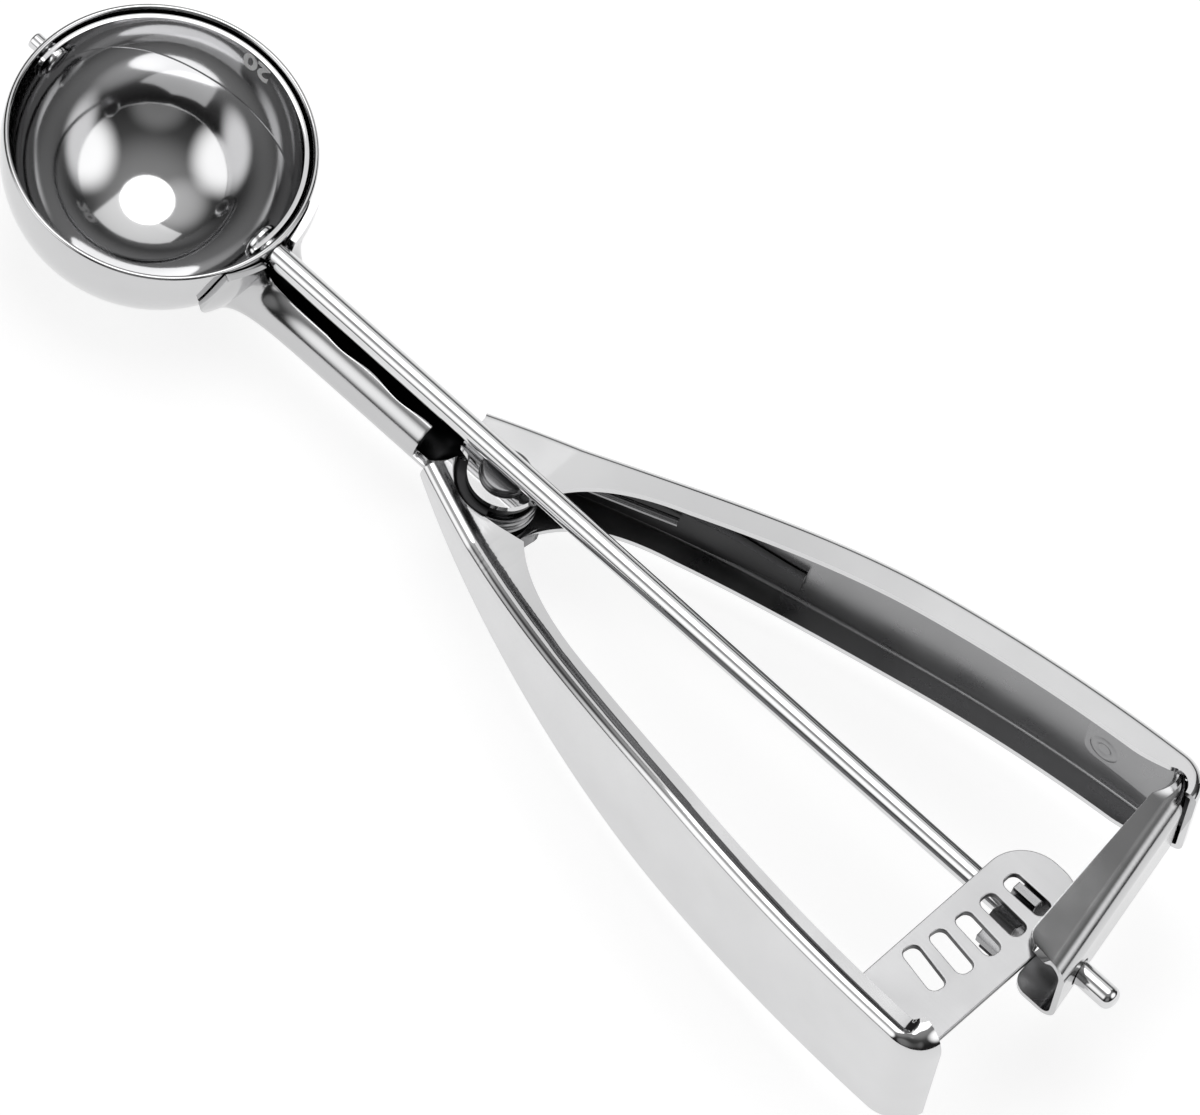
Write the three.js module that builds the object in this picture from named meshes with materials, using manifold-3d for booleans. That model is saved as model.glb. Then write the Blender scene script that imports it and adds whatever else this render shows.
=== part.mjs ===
// Squeeze-handle ice cream scoop in bright stainless steel, in millimetres with +Z up.
// The pieces are laid out along the drive rod: its axis is X, and the bowl's centre is at zero.
// The finished group is then moved so that its origin is the middle of the box's underside.

import * as THREE from 'three';
import { mergeVertices } from 'three/addons/utils/BufferGeometryUtils.js';
import Module from 'manifold-3d';

const wasm = await Module();
wasm.setup();

const radians = THREE.MathUtils.degToRad;
const between = THREE.MathUtils.lerp;

// Fits
const RUNNING_GAP = 0.3; // round a piece that turns in another
const SEAT_GAP = 0.2; // between pieces that are fastened together

// Bowl
const BOWL_RADIUS = 20.5;
const BOWL_WALL = 0.8;
const RIM_HEIGHT = 2.4; // straight rim above the rod's axis

// Scraper blade
const BLADE_GAP = 0.4; // to the bowl's inside
const BLADE_WALL = 0.6;
const BLADE_RISE = 1.9; // upper edge above the rod's axis, at rest
const BLADE_DROP = 7.7; // lower edge below the axis, at full width
const BLADE_TAB_RADIUS = 3.3; // round ends, about the rod's axis
const BLADE_TAB_TIP = 0.8; // half of the flat that ends a tab
const BLADE_SWELL = 28; // from tab to full width, along the strip

// Toe pin and drive rod
const PIN_RADIUS = 1.15;
const PIN_PROUD = 1.8;
const PIN_HEAD_RADIUS = 1.9;
const PIN_HEAD_HEIGHT = 0.7;
const PIN_TIP_ROUND = 0.4;
const ROD_RADIUS = 1.65;
const ROD_STUB = 6.2; // behind the bracket
const ROD_HEAD_RADIUS = 2.6;
const ROD_HEAD_HEIGHT = 0.8;
const ROD_TIP_ROUND = 1.2;

// Pivot
const PIVOT_X = 62;
const RIVET_RADIUS = 2.2;
const RIVET_HEAD_RADIUS = 3.5;
const RIVET_HEAD_HEIGHT = 0.8;
const RIVET_CROWN_RADIUS = 2.1;

// Handles: a channel whose web follows one long arc in plan and turns in at the rear
const SHEET = 0.9;
const HANDLE_FRONT_X = 54;
const HANDLE_CORNER_RADIUS = 5.5;
const HANDLE_CORNER_TURN = radians(82);
const HANDLE_HALF_WIDTH = 29.6; // rod axis to the web where it starts to turn in
const FLANGE_DEPTH = 4.3;
const EDGE_RADIUS = 2; // between web and flanges
const FIXED_WEB_Y = 8.94; // rod axis to the web, beside the pivot
const FIXED_ARC = 250;
const FIXED_CORNER_X = 152.5; // where the web starts to turn in
const TRIGGER_WEB_Y = 10.33;
const TRIGGER_ARC = 310;
const TRIGGER_CORNER_X = 154.5;

// Heights of the handles' flanges: level at the cheeks, then a curve into a straight rear slope
const CHEEK_TOP = -2.9;
const CHEEK_BOTTOM = -13.9;
const CHEEK_END_X = 66;
const CHEEK_END_RISE = 0.1; // slope of the top where it leaves the cheeks
const GRIP_X = 115;
const GRIP_TOP = 5.6;
const GRIP_BOTTOM = -13.9;
const GRIP_SLOPE = 0.0814;

// Lobe of the fixed handle, and the ears of the trigger that run inside it
const LOBE_RADIUS = 5.7;
const LOBE_START = radians(205);
const CHEEK_FRONT = new THREE.Vector2(55.2, -1.6);
const ARCH_BEND = new THREE.Vector2(69.5, 8.5);
const ARCH_END_X = 81;
const EAR_RADIUS = 5.4;
const EAR_CUT_RADIUS = 7; // where the trigger's flange steps down to its ear
const EAR_STEP = 1.1; // width of the step's wall
const EAR_START = radians(216);
const EAR_CUT_END = radians(290);
const EAR_END = radians(306);
const CUSP = new THREE.Vector2(70.3, -5.4);
const TRIGGER_BEND = new THREE.Vector2(76, -11.5);
const TRIGGER_ARCH_END_X = 90;

// Shank: saddle, flare, rolled neck and tail
const SHANK_WALL = 1;
const SADDLE_TOP = 0.9;
const SADDLE_BOTTOM = -12.1;
const SADDLE_TOP_HALF_WIDTH = 9.5;
const SADDLE_WAIST_HALF_WIDTH = 7.2;
const SADDLE_BOTTOM_HALF_WIDTH = 6.9;
const FLARE_START_X = 16.5;
const FLARE_HALF_WIDTH = 8;
const FLARE_HALF_HEIGHT = 6.2;
const FLARE_CENTRE_Z = -5.8;
const FLARE_CURVE = 2.4; // how fast the flare closes in
const NECK_START_X = 32;
const NECK_END_X = 52;
const NECK_RADIUS = 4;
const NECK_Z = -8.4;
const SEAM_HALF_WIDTH = 1.3;
const SEAM_MOUTH_HALF_WIDTH = 2.2;
const TAIL_END_X = 97;
const TAIL_TAPER_X = 84;
const TAIL_HALF_HEIGHT = 3;
const TAIL_END_HALF_HEIGHT = 1.6;

// Torsion spring
const WIRE_RADIUS = 0.6;
const COIL_RADIUS = 4.6;
const COIL_FULL_TURNS = 2;
const COIL_PITCH = 1.75;
const SPRING_TOP_Z = -6.3;
const SPRING_LEG_X = 80;
const SPRING_STEPS_PER_TURN = 8;
const WIRE_SIDES = 5;

// Pinion and rack
const TEETH = 8;
const TOOTH_PITCH = 4.46;
const TOOTH_TIP = 0.62; // above the pitch circle
const TOOTH_ROOT = 1.5; // below it
const TOOTH_TIP_HALF = 0.6;
const TOOTH_ROOT_HALF = 1.05;
const PINION_X = 152;
const PINION_WIDTH = 4;
const RACK_WALL = 1;
const RACK_SLOTS = 5;
const SLOT_WIDTH = 2.66;
const SLOT_LENGTH = 7;
const SLOT_ROUND = 1.1;
const RACK_FRONT_X = 145.4;
const RACK_REAR_X = 158.6;
const RACK_TIP_Y = 6.2;
const RACK_TIP_ROUND = 6;
const RACK_SHOULDER_Y = -25.2;
const RACK_TAIL_FRONT_X = 147;
const RACK_TAIL_REAR_X = 154;
const RACK_TAB_BOTTOM = -1.5;

// Rear bracket
const BRACKET_WALL = 0.8;
const BRACKET_REAR_X = 162.5; // outer face at the rod
const BRACKET_LEAN = 0.22; // forward, for each millimetre towards the fixed handle
const BRACKET_DEPTH = 7.3; // at its free end
const BRACKET_ROOT_DEPTH = 4.4; // inside the fixed handle
const BRACKET_BOTTOM = -5;
const BRACKET_ROUND = 2.2; // between rear wall and flanges
const BRACKET_END_Y = -5.5;
const BRACKET_CORNER = 2.2; // rounding of the flanges' free corners
const BRACKET_BEND = 7; // radius from the rear wall into the foot
const FOOT_FRONT_X = 139;
const FOOT_TOP = 4.6;
const FOOT_BOTTOM = -4.6;

// Sizes that follow from the ones above
const BOWL_INNER = BOWL_RADIUS - BOWL_WALL;
const BLADE_OUTER = BOWL_INNER - BLADE_GAP;
const BLADE_INNER = BLADE_OUTER - BLADE_WALL;
const PITCH_RADIUS = (TEETH * TOOTH_PITCH) / (2 * Math.PI);
const RACK_RADIUS = PINION_X - PIVOT_X;
const RACK_BOTTOM = PITCH_RADIUS - RACK_WALL / 2;
const RACK_TOP = PITCH_RADIUS + RACK_WALL / 2;
const BRACKET_TOP = RACK_TOP + RUNNING_GAP + BRACKET_WALL;
const ROD_END_X = BRACKET_REAR_X + ROD_STUB;
const TOE_X = -(BOWL_RADIUS + PIN_PROUD);
const EAR_TOP = CHEEK_TOP - SHEET - RUNNING_GAP;
const EAR_BOTTOM = CHEEK_BOTTOM + SHEET + RUNNING_GAP;
const TAIL_OFFSET = SHEET + SEAT_GAP; // from a web's outer face to what lies on its inside

// How finely round forms are cut
const BOWL_SIDES = 48;
const BOWL_STEPS = 10;
const ROUND_SIDES = 20;
const EDGE_STEPS = 4;
const BLADE_STEPS = 26;
const BLADE_CROSS_STEPS = 4;
const TAB_STEPS = 4;
const FLANGE_STEPS = 3;
const GRIP_STEPS = 9;
const CORNER_STEPS = 7;
const LOBE_STEPS = 6;
const ARCH_STEPS = 6;
const EAR_CUT_STEPS = 5;
const NECK_SIDES = 16;
const FLARE_STEPS = 8;
const TAIL_STEPS = 12;
const CURVE_STEPS = 8; // of each curve in a plate's outline
const SLOT_ROUND_STEPS = 3;
const RACK_TAIL_STEPS = 4;
const BRACKET_STEPS = 8;
const BEND_STEPS = 6;
const BEND_TRIES = 12;
const FOOT_STEPS = 4;
const WIRE_TEST_STEPS = 6; // points on each stretch of wire whose gap is measured

// Plan axes of an outline laid across the rod: its x runs along Y, its y along Z, its depth along X
const ALONG_X = new THREE.Matrix4().makeBasis(
  new THREE.Vector3(0, 1, 0),
  new THREE.Vector3(0, 0, 1),
  new THREE.Vector3(1, 0, 0),
);

/** Signed volume of a triangle list, which is negative where the faces point inwards. */
function signedVolume(position, index) {
  const [a, b, c] = [new THREE.Vector3(), new THREE.Vector3(), new THREE.Vector3()];
  let sum = 0;
  for (let i = 0; i < index.length; i += 3) {
    a.fromBufferAttribute(position, index[i]);
    b.fromBufferAttribute(position, index[i + 1]);
    c.fromBufferAttribute(position, index[i + 2]);
    sum += a.dot(b.cross(c)) / 6;
  }
  return sum;
}

/** A closed geometry as a solid, its shared corners merged and its faces turned outwards. */
function solid(geometry) {
  const bare = new THREE.BufferGeometry();
  bare.setAttribute('position', geometry.getAttribute('position'));
  bare.setIndex(geometry.getIndex());
  const merged = mergeVertices(bare, 1e-5);
  const position = merged.getAttribute('position');
  const corners = merged.getIndex().array;
  const index = [];
  for (let i = 0; i < corners.length; i += 3) {
    const [a, b, c] = [corners[i], corners[i + 1], corners[i + 2]];
    if (a !== b && b !== c && c !== a) index.push(a, b, c);
  }
  if (signedVolume(position, index) < 0) index.reverse();
  return new wasm.Manifold(new wasm.Mesh({
    numProp: 3,
    vertProperties: new Float32Array(position.array),
    triVerts: new Uint32Array(index),
  }));
}

/** A named mesh of a solid, in its own steel. */
function part(name, shape, { color, roughness }) {
  const mesh = shape.getMesh();
  const geometry = new THREE.BufferGeometry();
  geometry.setAttribute('position', new THREE.BufferAttribute(new Float32Array(mesh.vertProperties), 3));
  geometry.setIndex(new THREE.BufferAttribute(new Uint32Array(mesh.triVerts), 1));
  geometry.computeVertexNormals();
  const made = new THREE.Mesh(geometry, new THREE.MeshStandardMaterial({ color, roughness, metalness: 1 }));
  made.name = name;
  return made;
}

/** Solid through rings of equally many points, with an end cap zigzagged across the first and last. */
function loft(rings) {
  const count = rings[0].length;
  const index = [];
  for (let r = 0; r < rings.length - 1; r += 1) {
    for (let i = 0; i < count; i += 1) {
      const [a, b] = [r * count + i, r * count + ((i + 1) % count)];
      index.push(a, b, b + count, a, b + count, a + count);
    }
  }
  const last = (rings.length - 1) * count;
  const cap = (a, b, c) => index.push(c, b, a, last + a, last + b, last + c);
  for (let low = 0, high = count - 1; high - low > 1;) {
    cap(low, low + 1, high);
    low += 1;
    if (high - low > 1) {
      cap(low, high - 1, high);
      high -= 1;
    }
  }
  const geometry = new THREE.BufferGeometry();
  const numbers = rings.flat().flatMap((p) => p.toArray());
  geometry.setAttribute('position', new THREE.Float32BufferAttribute(numbers, 3));
  geometry.setIndex(index);
  return solid(geometry);
}

/** Solid of revolution about X, from [x, radius] pairs. */
function turnedAlongX(profile, sides = ROUND_SIDES) {
  const points = profile.map(([x, radius]) => new THREE.Vector2(radius, x));
  return solid(new THREE.LatheGeometry(points, sides).rotateZ(-Math.PI / 2));
}

/** Solid of revolution about a vertical axis through a plan point, from [radius, z] pairs. */
function turnedUpright(profile, sides, x = 0) {
  const points = profile.map(([radius, z]) => new THREE.Vector2(radius, z));
  return solid(new THREE.LatheGeometry(points, sides).rotateX(Math.PI / 2).translate(x, 0, 0));
}

/** Round bar along X. */
function barAlongX(radius, from, to) {
  return turnedAlongX([[from, 0], [from, radius], [to, radius], [to, 0]]);
}

/** Round upright bar at the pivot. */
function barAtPivot(radius, from, to) {
  return turnedUpright([[0, from], [radius, from], [radius, to], [0, to]], ROUND_SIDES, PIVOT_X);
}

/** Outline given a depth along Z. */
function extruded(shape, depth, curveSegments = CURVE_STEPS) {
  return new THREE.ExtrudeGeometry(shape, { depth, bevelEnabled: false, curveSegments });
}

/** Flat plate from a plan outline. */
function plate(shape, from, to) {
  return solid(extruded(shape, to - from).translate(0, 0, from));
}

/** Plan point at an angle and distance from the pivot. */
function aboutPivot(angle, radius) {
  return new THREE.Vector2(PIVOT_X + radius * Math.cos(angle), radius * Math.sin(angle));
}

/** Values spread evenly from one number to another, both included. */
function spread(from, to, steps) {
  return Array.from({ length: steps + 1 }, (_, i) => between(from, to, i / steps));
}

// Bowl

/** Profile of half a bowl of one radius, from its pole up to a height. */
function bowlProfile(radius, top) {
  const arc = spread(-Math.PI / 2, 0, BOWL_STEPS).map((a) => [radius * Math.cos(a), radius * Math.sin(a)]);
  arc[0][0] = 0;
  return [...arc, [radius, top]];
}

/** Everything inside a bowl of one radius. */
function bowlFilled(radius, top) {
  return turnedUpright([...bowlProfile(radius, top), [0, top]], BOWL_SIDES);
}

function makeBowl() {
  const walls = [...bowlProfile(BOWL_RADIUS, RIM_HEIGHT), ...bowlProfile(BOWL_INNER, RIM_HEIGHT).reverse()];
  const heelBore = barAlongX(ROD_RADIUS + RUNNING_GAP, BLADE_INNER, BOWL_RADIUS + BOWL_WALL);
  const toeBore = barAlongX(PIN_RADIUS + RUNNING_GAP, -BOWL_RADIUS - BOWL_WALL, -BLADE_INNER);
  return turnedUpright(walls, BOWL_SIDES).subtract(heelBore).subtract(toeBore);
}

// Scraper blade and what it turns on

/** Heights of the blade's lower and upper edge at a distance along it from the nearer end's axis. */
function bladeEdges(fromEnd) {
  if (fromEnd < 0) {
    const round = Math.sqrt(BLADE_TAB_RADIUS ** 2 - fromEnd ** 2);
    return [-round, Math.min(round, BLADE_RISE)];
  }
  const swell = THREE.MathUtils.smoothstep(fromEnd, 0, BLADE_SWELL);
  return [-between(BLADE_TAB_RADIUS, BLADE_DROP, swell), BLADE_RISE];
}

/** Point of the blade's sphere, by its angle along the strip from the toe and its height angle. */
function onBlade(radius, along, across) {
  const level = radius * Math.cos(across);
  return new THREE.Vector3(-level * Math.cos(along), level * Math.sin(along), radius * Math.sin(across));
}

function makeBlade() {
  const tip = Math.sqrt(BLADE_TAB_RADIUS ** 2 - BLADE_TAB_TIP ** 2) / BLADE_OUTER;
  const angles = [
    ...spread(-tip, 0, TAB_STEPS).slice(0, -1),
    ...spread(0, Math.PI, BLADE_STEPS),
    ...spread(Math.PI, Math.PI + tip, TAB_STEPS).slice(1),
  ];
  const rings = angles.map((along) => {
    const [lower, upper] = bladeEdges(Math.min(along, Math.PI - along) * BLADE_OUTER);
    const across = spread(Math.asin(lower / BLADE_OUTER), Math.asin(upper / BLADE_OUTER), BLADE_CROSS_STEPS);
    const outside = across.map((a) => onBlade(BLADE_OUTER, along, a));
    const inside = across.map((a) => onBlade(BLADE_INNER, along, a));
    return [...outside, ...inside.reverse()];
  });
  const toeHole = barAlongX(PIN_RADIUS + SEAT_GAP, -BOWL_RADIUS, -BLADE_INNER + 2 * BLADE_WALL);
  const heelHole = barAlongX(ROD_RADIUS + SEAT_GAP, BLADE_INNER - 2 * BLADE_WALL, BOWL_RADIUS);
  return loft(rings).subtract(toeHole).subtract(heelHole);
}

/** Where the flat of a head of one radius meets the blade's hollow side, measured from the bowl's centre. */
function headSeat(radius) {
  return Math.sqrt(BLADE_INNER ** 2 - radius ** 2) - SEAT_GAP;
}

function makeToePin() {
  const seat = headSeat(PIN_HEAD_RADIUS);
  return turnedAlongX([
    [TOE_X, 0],
    [TOE_X, PIN_RADIUS - PIN_TIP_ROUND],
    [TOE_X + PIN_TIP_ROUND, PIN_RADIUS],
    [-seat, PIN_RADIUS],
    [-seat, PIN_HEAD_RADIUS],
    [-seat + PIN_HEAD_HEIGHT / 2, PIN_HEAD_RADIUS],
    [-seat + PIN_HEAD_HEIGHT, PIN_RADIUS],
    [-seat + PIN_HEAD_HEIGHT, 0],
  ]);
}

function makeRod() {
  const seat = headSeat(ROD_HEAD_RADIUS);
  const tip = spread(0, Math.PI / 2, EDGE_STEPS).map((a) => [
    ROD_END_X - ROD_TIP_ROUND * (1 - Math.sin(a)),
    ROD_RADIUS - ROD_TIP_ROUND * (1 - Math.cos(a)),
  ]);
  return turnedAlongX([
    [seat - ROD_HEAD_HEIGHT, 0],
    [seat - ROD_HEAD_HEIGHT, ROD_RADIUS],
    [seat - ROD_HEAD_HEIGHT / 2, ROD_HEAD_RADIUS],
    [seat, ROD_HEAD_RADIUS],
    [seat, ROD_RADIUS],
    ...tip,
    [ROD_END_X, 0],
  ]);
}

// Handles

/** Height of a flange: level, then one cubic curve, then a straight slope. */
function flangeHeight(x, cheek, rise, grip) {
  if (x <= CHEEK_END_X) return cheek;
  if (x >= GRIP_X) return grip + GRIP_SLOPE * (x - GRIP_X);
  const span = GRIP_X - CHEEK_END_X;
  const t = (x - CHEEK_END_X) / span;
  const level = cheek + (grip - cheek) * t * t * (3 - 2 * t);
  return level + span * t * (1 - t) * (rise * (1 - t) - GRIP_SLOPE * t);
}

const topAt = (x) => flangeHeight(x, CHEEK_TOP, CHEEK_END_RISE, GRIP_TOP);
const bottomAt = (x) => flangeHeight(x, CHEEK_BOTTOM, 0, GRIP_BOTTOM);

/** Plan line of a handle's outer web, on the side where y is positive. */
class WebLine {
  constructor(besidePivot, radius, cornerX) {
    this.besidePivot = besidePivot;
    this.radius = radius;
    this.cornerX = cornerX;
    const chord = new THREE.Vector2(cornerX - PIVOT_X, HANDLE_HALF_WIDTH - besidePivot);
    const bend = Math.asin(chord.length() / (2 * radius));
    this.heading = chord.angle() + bend;
    this.endHeading = chord.angle() - bend;
  }

  /** Heading of the long arc where it passes a given x. */
  headingAt(x) {
    return Math.asin(Math.sin(this.heading) - (x - PIVOT_X) / this.radius);
  }

  /** Unit vector into the channel for a heading. */
  inward(heading) {
    return new THREE.Vector2(Math.sin(heading), -Math.cos(heading));
  }

  /** Point and inward direction on the long arc at a given x. */
  at(x) {
    const heading = this.headingAt(x);
    const y = this.besidePivot + this.radius * (Math.cos(heading) - Math.cos(this.heading));
    return { point: new THREE.Vector2(x, y), inward: this.inward(heading) };
  }

  /** Point at a depth inside the web's outer face. */
  inside(x, depth) {
    const { point, inward } = this.at(x);
    return point.addScaledVector(inward, depth);
  }

  /** Stations round the rear corner, after the first. */
  corner(steps) {
    const start = this.at(this.cornerX);
    const centre = start.point.clone().addScaledVector(start.inward, HANDLE_CORNER_RADIUS);
    return spread(this.endHeading, this.endHeading - HANDLE_CORNER_TURN, steps).slice(1).map((heading) => {
      const inward = this.inward(heading);
      return { point: centre.clone().addScaledVector(inward, -HANDLE_CORNER_RADIUS), inward };
    });
  }
}

const fixedWeb = new WebLine(FIXED_WEB_Y, FIXED_ARC, FIXED_CORNER_X);
const triggerWeb = new WebLine(TRIGGER_WEB_Y, TRIGGER_ARC, TRIGGER_CORNER_X);

/** Points of the channel's wall at a station, a depth inside its outer skin, from top lip to bottom. */
function channelSkin({ point, inward, lip }, depth) {
  const bend = point.clone().addScaledVector(inward, EDGE_RADIUS);
  const flange = spread(0, 1, FLANGE_STEPS).slice(0, -1).map((t) => lip.clone().lerp(bend, t));
  const arc = spread(0, Math.PI / 2, EDGE_STEPS);
  const radius = EDGE_RADIUS - depth;
  const edge = arc.map((a) => ({
    plan: bend.clone().addScaledVector(inward, -radius * Math.sin(a)),
    drop: EDGE_RADIUS - radius * Math.cos(a),
  }));
  const top = [...flange.map((plan) => ({ plan, drop: depth })), ...edge];
  const upper = top.map(({ plan, drop }) => new THREE.Vector3(plan.x, plan.y, topAt(plan.x) - drop));
  const lower = top.map(({ plan, drop }) => new THREE.Vector3(plan.x, plan.y, bottomAt(plan.x) + drop));
  return [...upper, ...lower.reverse()];
}

/** Channel handle from its web line and the plan points of the lip of its cheeks, up to the plain grip. */
function channel(web, cheekLip, cheekEndX) {
  const cheekX = spread(HANDLE_FRONT_X, cheekEndX, cheekLip.length - 1);
  const cheeks = cheekX.map((x, i) => ({ ...web.at(x), lip: cheekLip[i] }));
  const straight = spread(cheekEndX, web.cornerX, GRIP_STEPS).slice(1).map((x) => web.at(x));
  const grip = [...straight, ...web.corner(CORNER_STEPS)];
  const plain = grip.map((s) => ({ ...s, lip: s.point.clone().addScaledVector(s.inward, FLANGE_DEPTH) }));
  const stations = [...cheeks, ...plain];
  return loft(stations.map((s) => [...channelSkin(s, 0), ...channelSkin(s, SHEET).reverse()]));
}

function makeFixedHandle() {
  const lobe = spread(LOBE_START, 2 * Math.PI, LOBE_STEPS).map((a) => aboutPivot(a, LOBE_RADIUS));
  const archStart = aboutPivot(0, LOBE_RADIUS);
  const archEnd = fixedWeb.inside(ARCH_END_X, FLANGE_DEPTH);
  const arch = new THREE.QuadraticBezierCurve(archStart, ARCH_BEND, archEnd).getPoints(ARCH_STEPS).slice(1);
  const rivetHole = barAtPivot(RIVET_RADIUS + RUNNING_GAP, CHEEK_BOTTOM - SHEET, CHEEK_TOP + SHEET);
  return channel(fixedWeb, [CHEEK_FRONT, ...lobe, ...arch], ARCH_END_X).subtract(rivetHole);
}

/** Sector of a ring round the pivot, on the trigger's side. */
function earSector(inner, outer, from, to) {
  const shape = new THREE.Shape();
  shape.absarc(PIVOT_X, 0, outer, EAR_START, EAR_END, false);
  shape.absarc(PIVOT_X, 0, inner, EAR_END, EAR_START, true);
  return plate(shape, from, to);
}

/** One ear of the trigger: a round lug on the rivet, and the wall that steps it in from the flange. */
function ear(level, flange) {
  const lug = barAtPivot(EAR_RADIUS, level, level + SHEET);
  const web = earSector(RIVET_RADIUS + SHEET, EAR_CUT_RADIUS + EAR_STEP, level, level + SHEET);
  const low = Math.min(level, flange);
  const high = Math.max(level, flange) + SHEET;
  const step = earSector(EAR_CUT_RADIUS + SEAT_GAP / 2, EAR_CUT_RADIUS + EAR_STEP, low, high - SEAT_GAP / 2);
  return lug.add(web).add(step);
}

function makeTriggerHandle() {
  const mirror = (p) => new THREE.Vector2(p.x, -p.y);
  const cut = spread(EAR_START, EAR_CUT_END, EAR_CUT_STEPS).map((a) => mirror(aboutPivot(a, EAR_CUT_RADIUS)));
  const archEnd = triggerWeb.inside(TRIGGER_ARCH_END_X, FLANGE_DEPTH);
  const arch = new THREE.QuadraticBezierCurve(mirror(CUSP), mirror(TRIGGER_BEND), archEnd);
  const lip = [...cut, ...arch.getPoints(ARCH_STEPS)];
  const body = channel(triggerWeb, lip, TRIGGER_ARCH_END_X).mirror([0, 1, 0]);
  const topEar = ear(EAR_TOP - SHEET, CHEEK_TOP - SHEET);
  const bottomEar = ear(EAR_BOTTOM, CHEEK_BOTTOM);
  const rivetHole = barAtPivot(RIVET_RADIUS + RUNNING_GAP, CHEEK_BOTTOM - SHEET, CHEEK_TOP + SHEET);
  return body.add(topEar).add(bottomEar).subtract(rivetHole);
}

function makeRivet() {
  const [top, bottom] = [CHEEK_TOP + SEAT_GAP / 2, CHEEK_BOTTOM - SEAT_GAP / 2];
  return turnedUpright([
    [0, bottom - RIVET_HEAD_HEIGHT],
    [RIVET_CROWN_RADIUS, bottom - RIVET_HEAD_HEIGHT],
    [RIVET_HEAD_RADIUS, bottom - RIVET_HEAD_HEIGHT / 2],
    [RIVET_HEAD_RADIUS, bottom],
    [RIVET_RADIUS, bottom],
    [RIVET_RADIUS, top],
    [RIVET_HEAD_RADIUS, top],
    [RIVET_HEAD_RADIUS, top + RIVET_HEAD_HEIGHT / 2],
    [RIVET_CROWN_RADIUS, top + RIVET_HEAD_HEIGHT],
    [0, top + RIVET_HEAD_HEIGHT],
  ], ROUND_SIDES, PIVOT_X);
}

// Shank

/** One section of the flare or neck: an open ring, its gap on top. */
function neckRing(x) {
  const open = THREE.MathUtils.clamp((NECK_START_X - x) / (NECK_START_X - FLARE_START_X), 0, 1);
  const t = open ** FLARE_CURVE;
  const halfWidth = between(NECK_RADIUS, FLARE_HALF_WIDTH, t);
  const halfHeight = between(NECK_RADIUS, FLARE_HALF_HEIGHT, t);
  const centre = between(NECK_Z, FLARE_CENTRE_Z, t);
  const gap = Math.asin(between(SEAM_HALF_WIDTH, SEAM_MOUTH_HALF_WIDTH, t) / halfWidth);
  const angles = spread(gap, 2 * Math.PI - gap, NECK_SIDES);
  const skin = (depth) => angles.map((a) => new THREE.Vector3(
    x,
    (halfWidth - depth) * Math.sin(a),
    centre + (halfHeight - depth) * Math.cos(a),
  ));
  return [...skin(0), ...skin(SHANK_WALL).reverse()];
}

/** Saddle: a fishtail cut from a shell that hugs the bowl. */
function makeSaddle() {
  const inner = BOWL_RADIUS + SEAT_GAP;
  const hollow = bowlFilled(inner, SADDLE_TOP + SHANK_WALL);
  const shell = bowlFilled(inner + SHANK_WALL, SADDLE_TOP).subtract(hollow);
  const outline = new THREE.Shape();
  const waistZ = (SADDLE_TOP + SADDLE_BOTTOM) / 2;
  outline.moveTo(-SADDLE_TOP_HALF_WIDTH, SADDLE_TOP + SHANK_WALL);
  outline.lineTo(SADDLE_TOP_HALF_WIDTH, SADDLE_TOP + SHANK_WALL);
  outline.quadraticCurveTo(SADDLE_WAIST_HALF_WIDTH, waistZ, SADDLE_BOTTOM_HALF_WIDTH, SADDLE_BOTTOM);
  outline.lineTo(-SADDLE_BOTTOM_HALF_WIDTH, SADDLE_BOTTOM);
  outline.quadraticCurveTo(-SADDLE_WAIST_HALF_WIDTH, waistZ, -SADDLE_TOP_HALF_WIDTH, SADDLE_TOP + SHANK_WALL);
  const depth = BOWL_RADIUS + 2 * SHANK_WALL;
  return shell.intersect(solid(extruded(outline, depth).applyMatrix4(ALONG_X)));
}

/** Tail strip: leaves the neck's side and lies along the fixed handle's web. */
function makeTail() {
  const lead = spread(NECK_END_X - NECK_RADIUS, NECK_END_X, 1).map((x) => ({
    outer: new THREE.Vector2(x, NECK_RADIUS),
    inner: new THREE.Vector2(x, NECK_RADIUS - SHANK_WALL),
  }));
  const follow = spread(HANDLE_FRONT_X, TAIL_END_X, TAIL_STEPS).map((x) => ({
    outer: fixedWeb.inside(x, TAIL_OFFSET),
    inner: fixedWeb.inside(x, TAIL_OFFSET + SHANK_WALL),
  }));
  return loft([...lead, ...follow].map(({ outer, inner }) => {
    const taper = THREE.MathUtils.smoothstep(outer.x, TAIL_TAPER_X, TAIL_END_X);
    const half = between(TAIL_HALF_HEIGHT, TAIL_END_HALF_HEIGHT, taper);
    const corner = (plan, z) => new THREE.Vector3(plan.x, plan.y, z);
    return [
      corner(outer, NECK_Z + half),
      corner(outer, NECK_Z - half),
      corner(inner, NECK_Z - half),
      corner(inner, NECK_Z + half),
    ];
  }));
}

function makeShank() {
  const stations = [...spread(FLARE_START_X, NECK_START_X, FLARE_STEPS), NECK_END_X];
  const bowlSpace = bowlFilled(BOWL_RADIUS + SEAT_GAP, SADDLE_TOP + BOWL_RADIUS);
  const rodSpace = barAlongX(ROD_RADIUS + RUNNING_GAP, 0, NECK_END_X);
  const neck = loft(stations.map(neckRing)).subtract(bowlSpace);
  return makeSaddle().add(neck).add(makeTail()).subtract(rodSpace);
}

// Torsion spring

/** Where a straight line from a plan point touches the coil's circle, as an angle about the pivot. */
function coilTouch(tip, side) {
  const reach = tip.clone().sub(aboutPivot(0, 0));
  return reach.angle() + side * Math.acos(COIL_RADIUS / reach.length());
}

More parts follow.
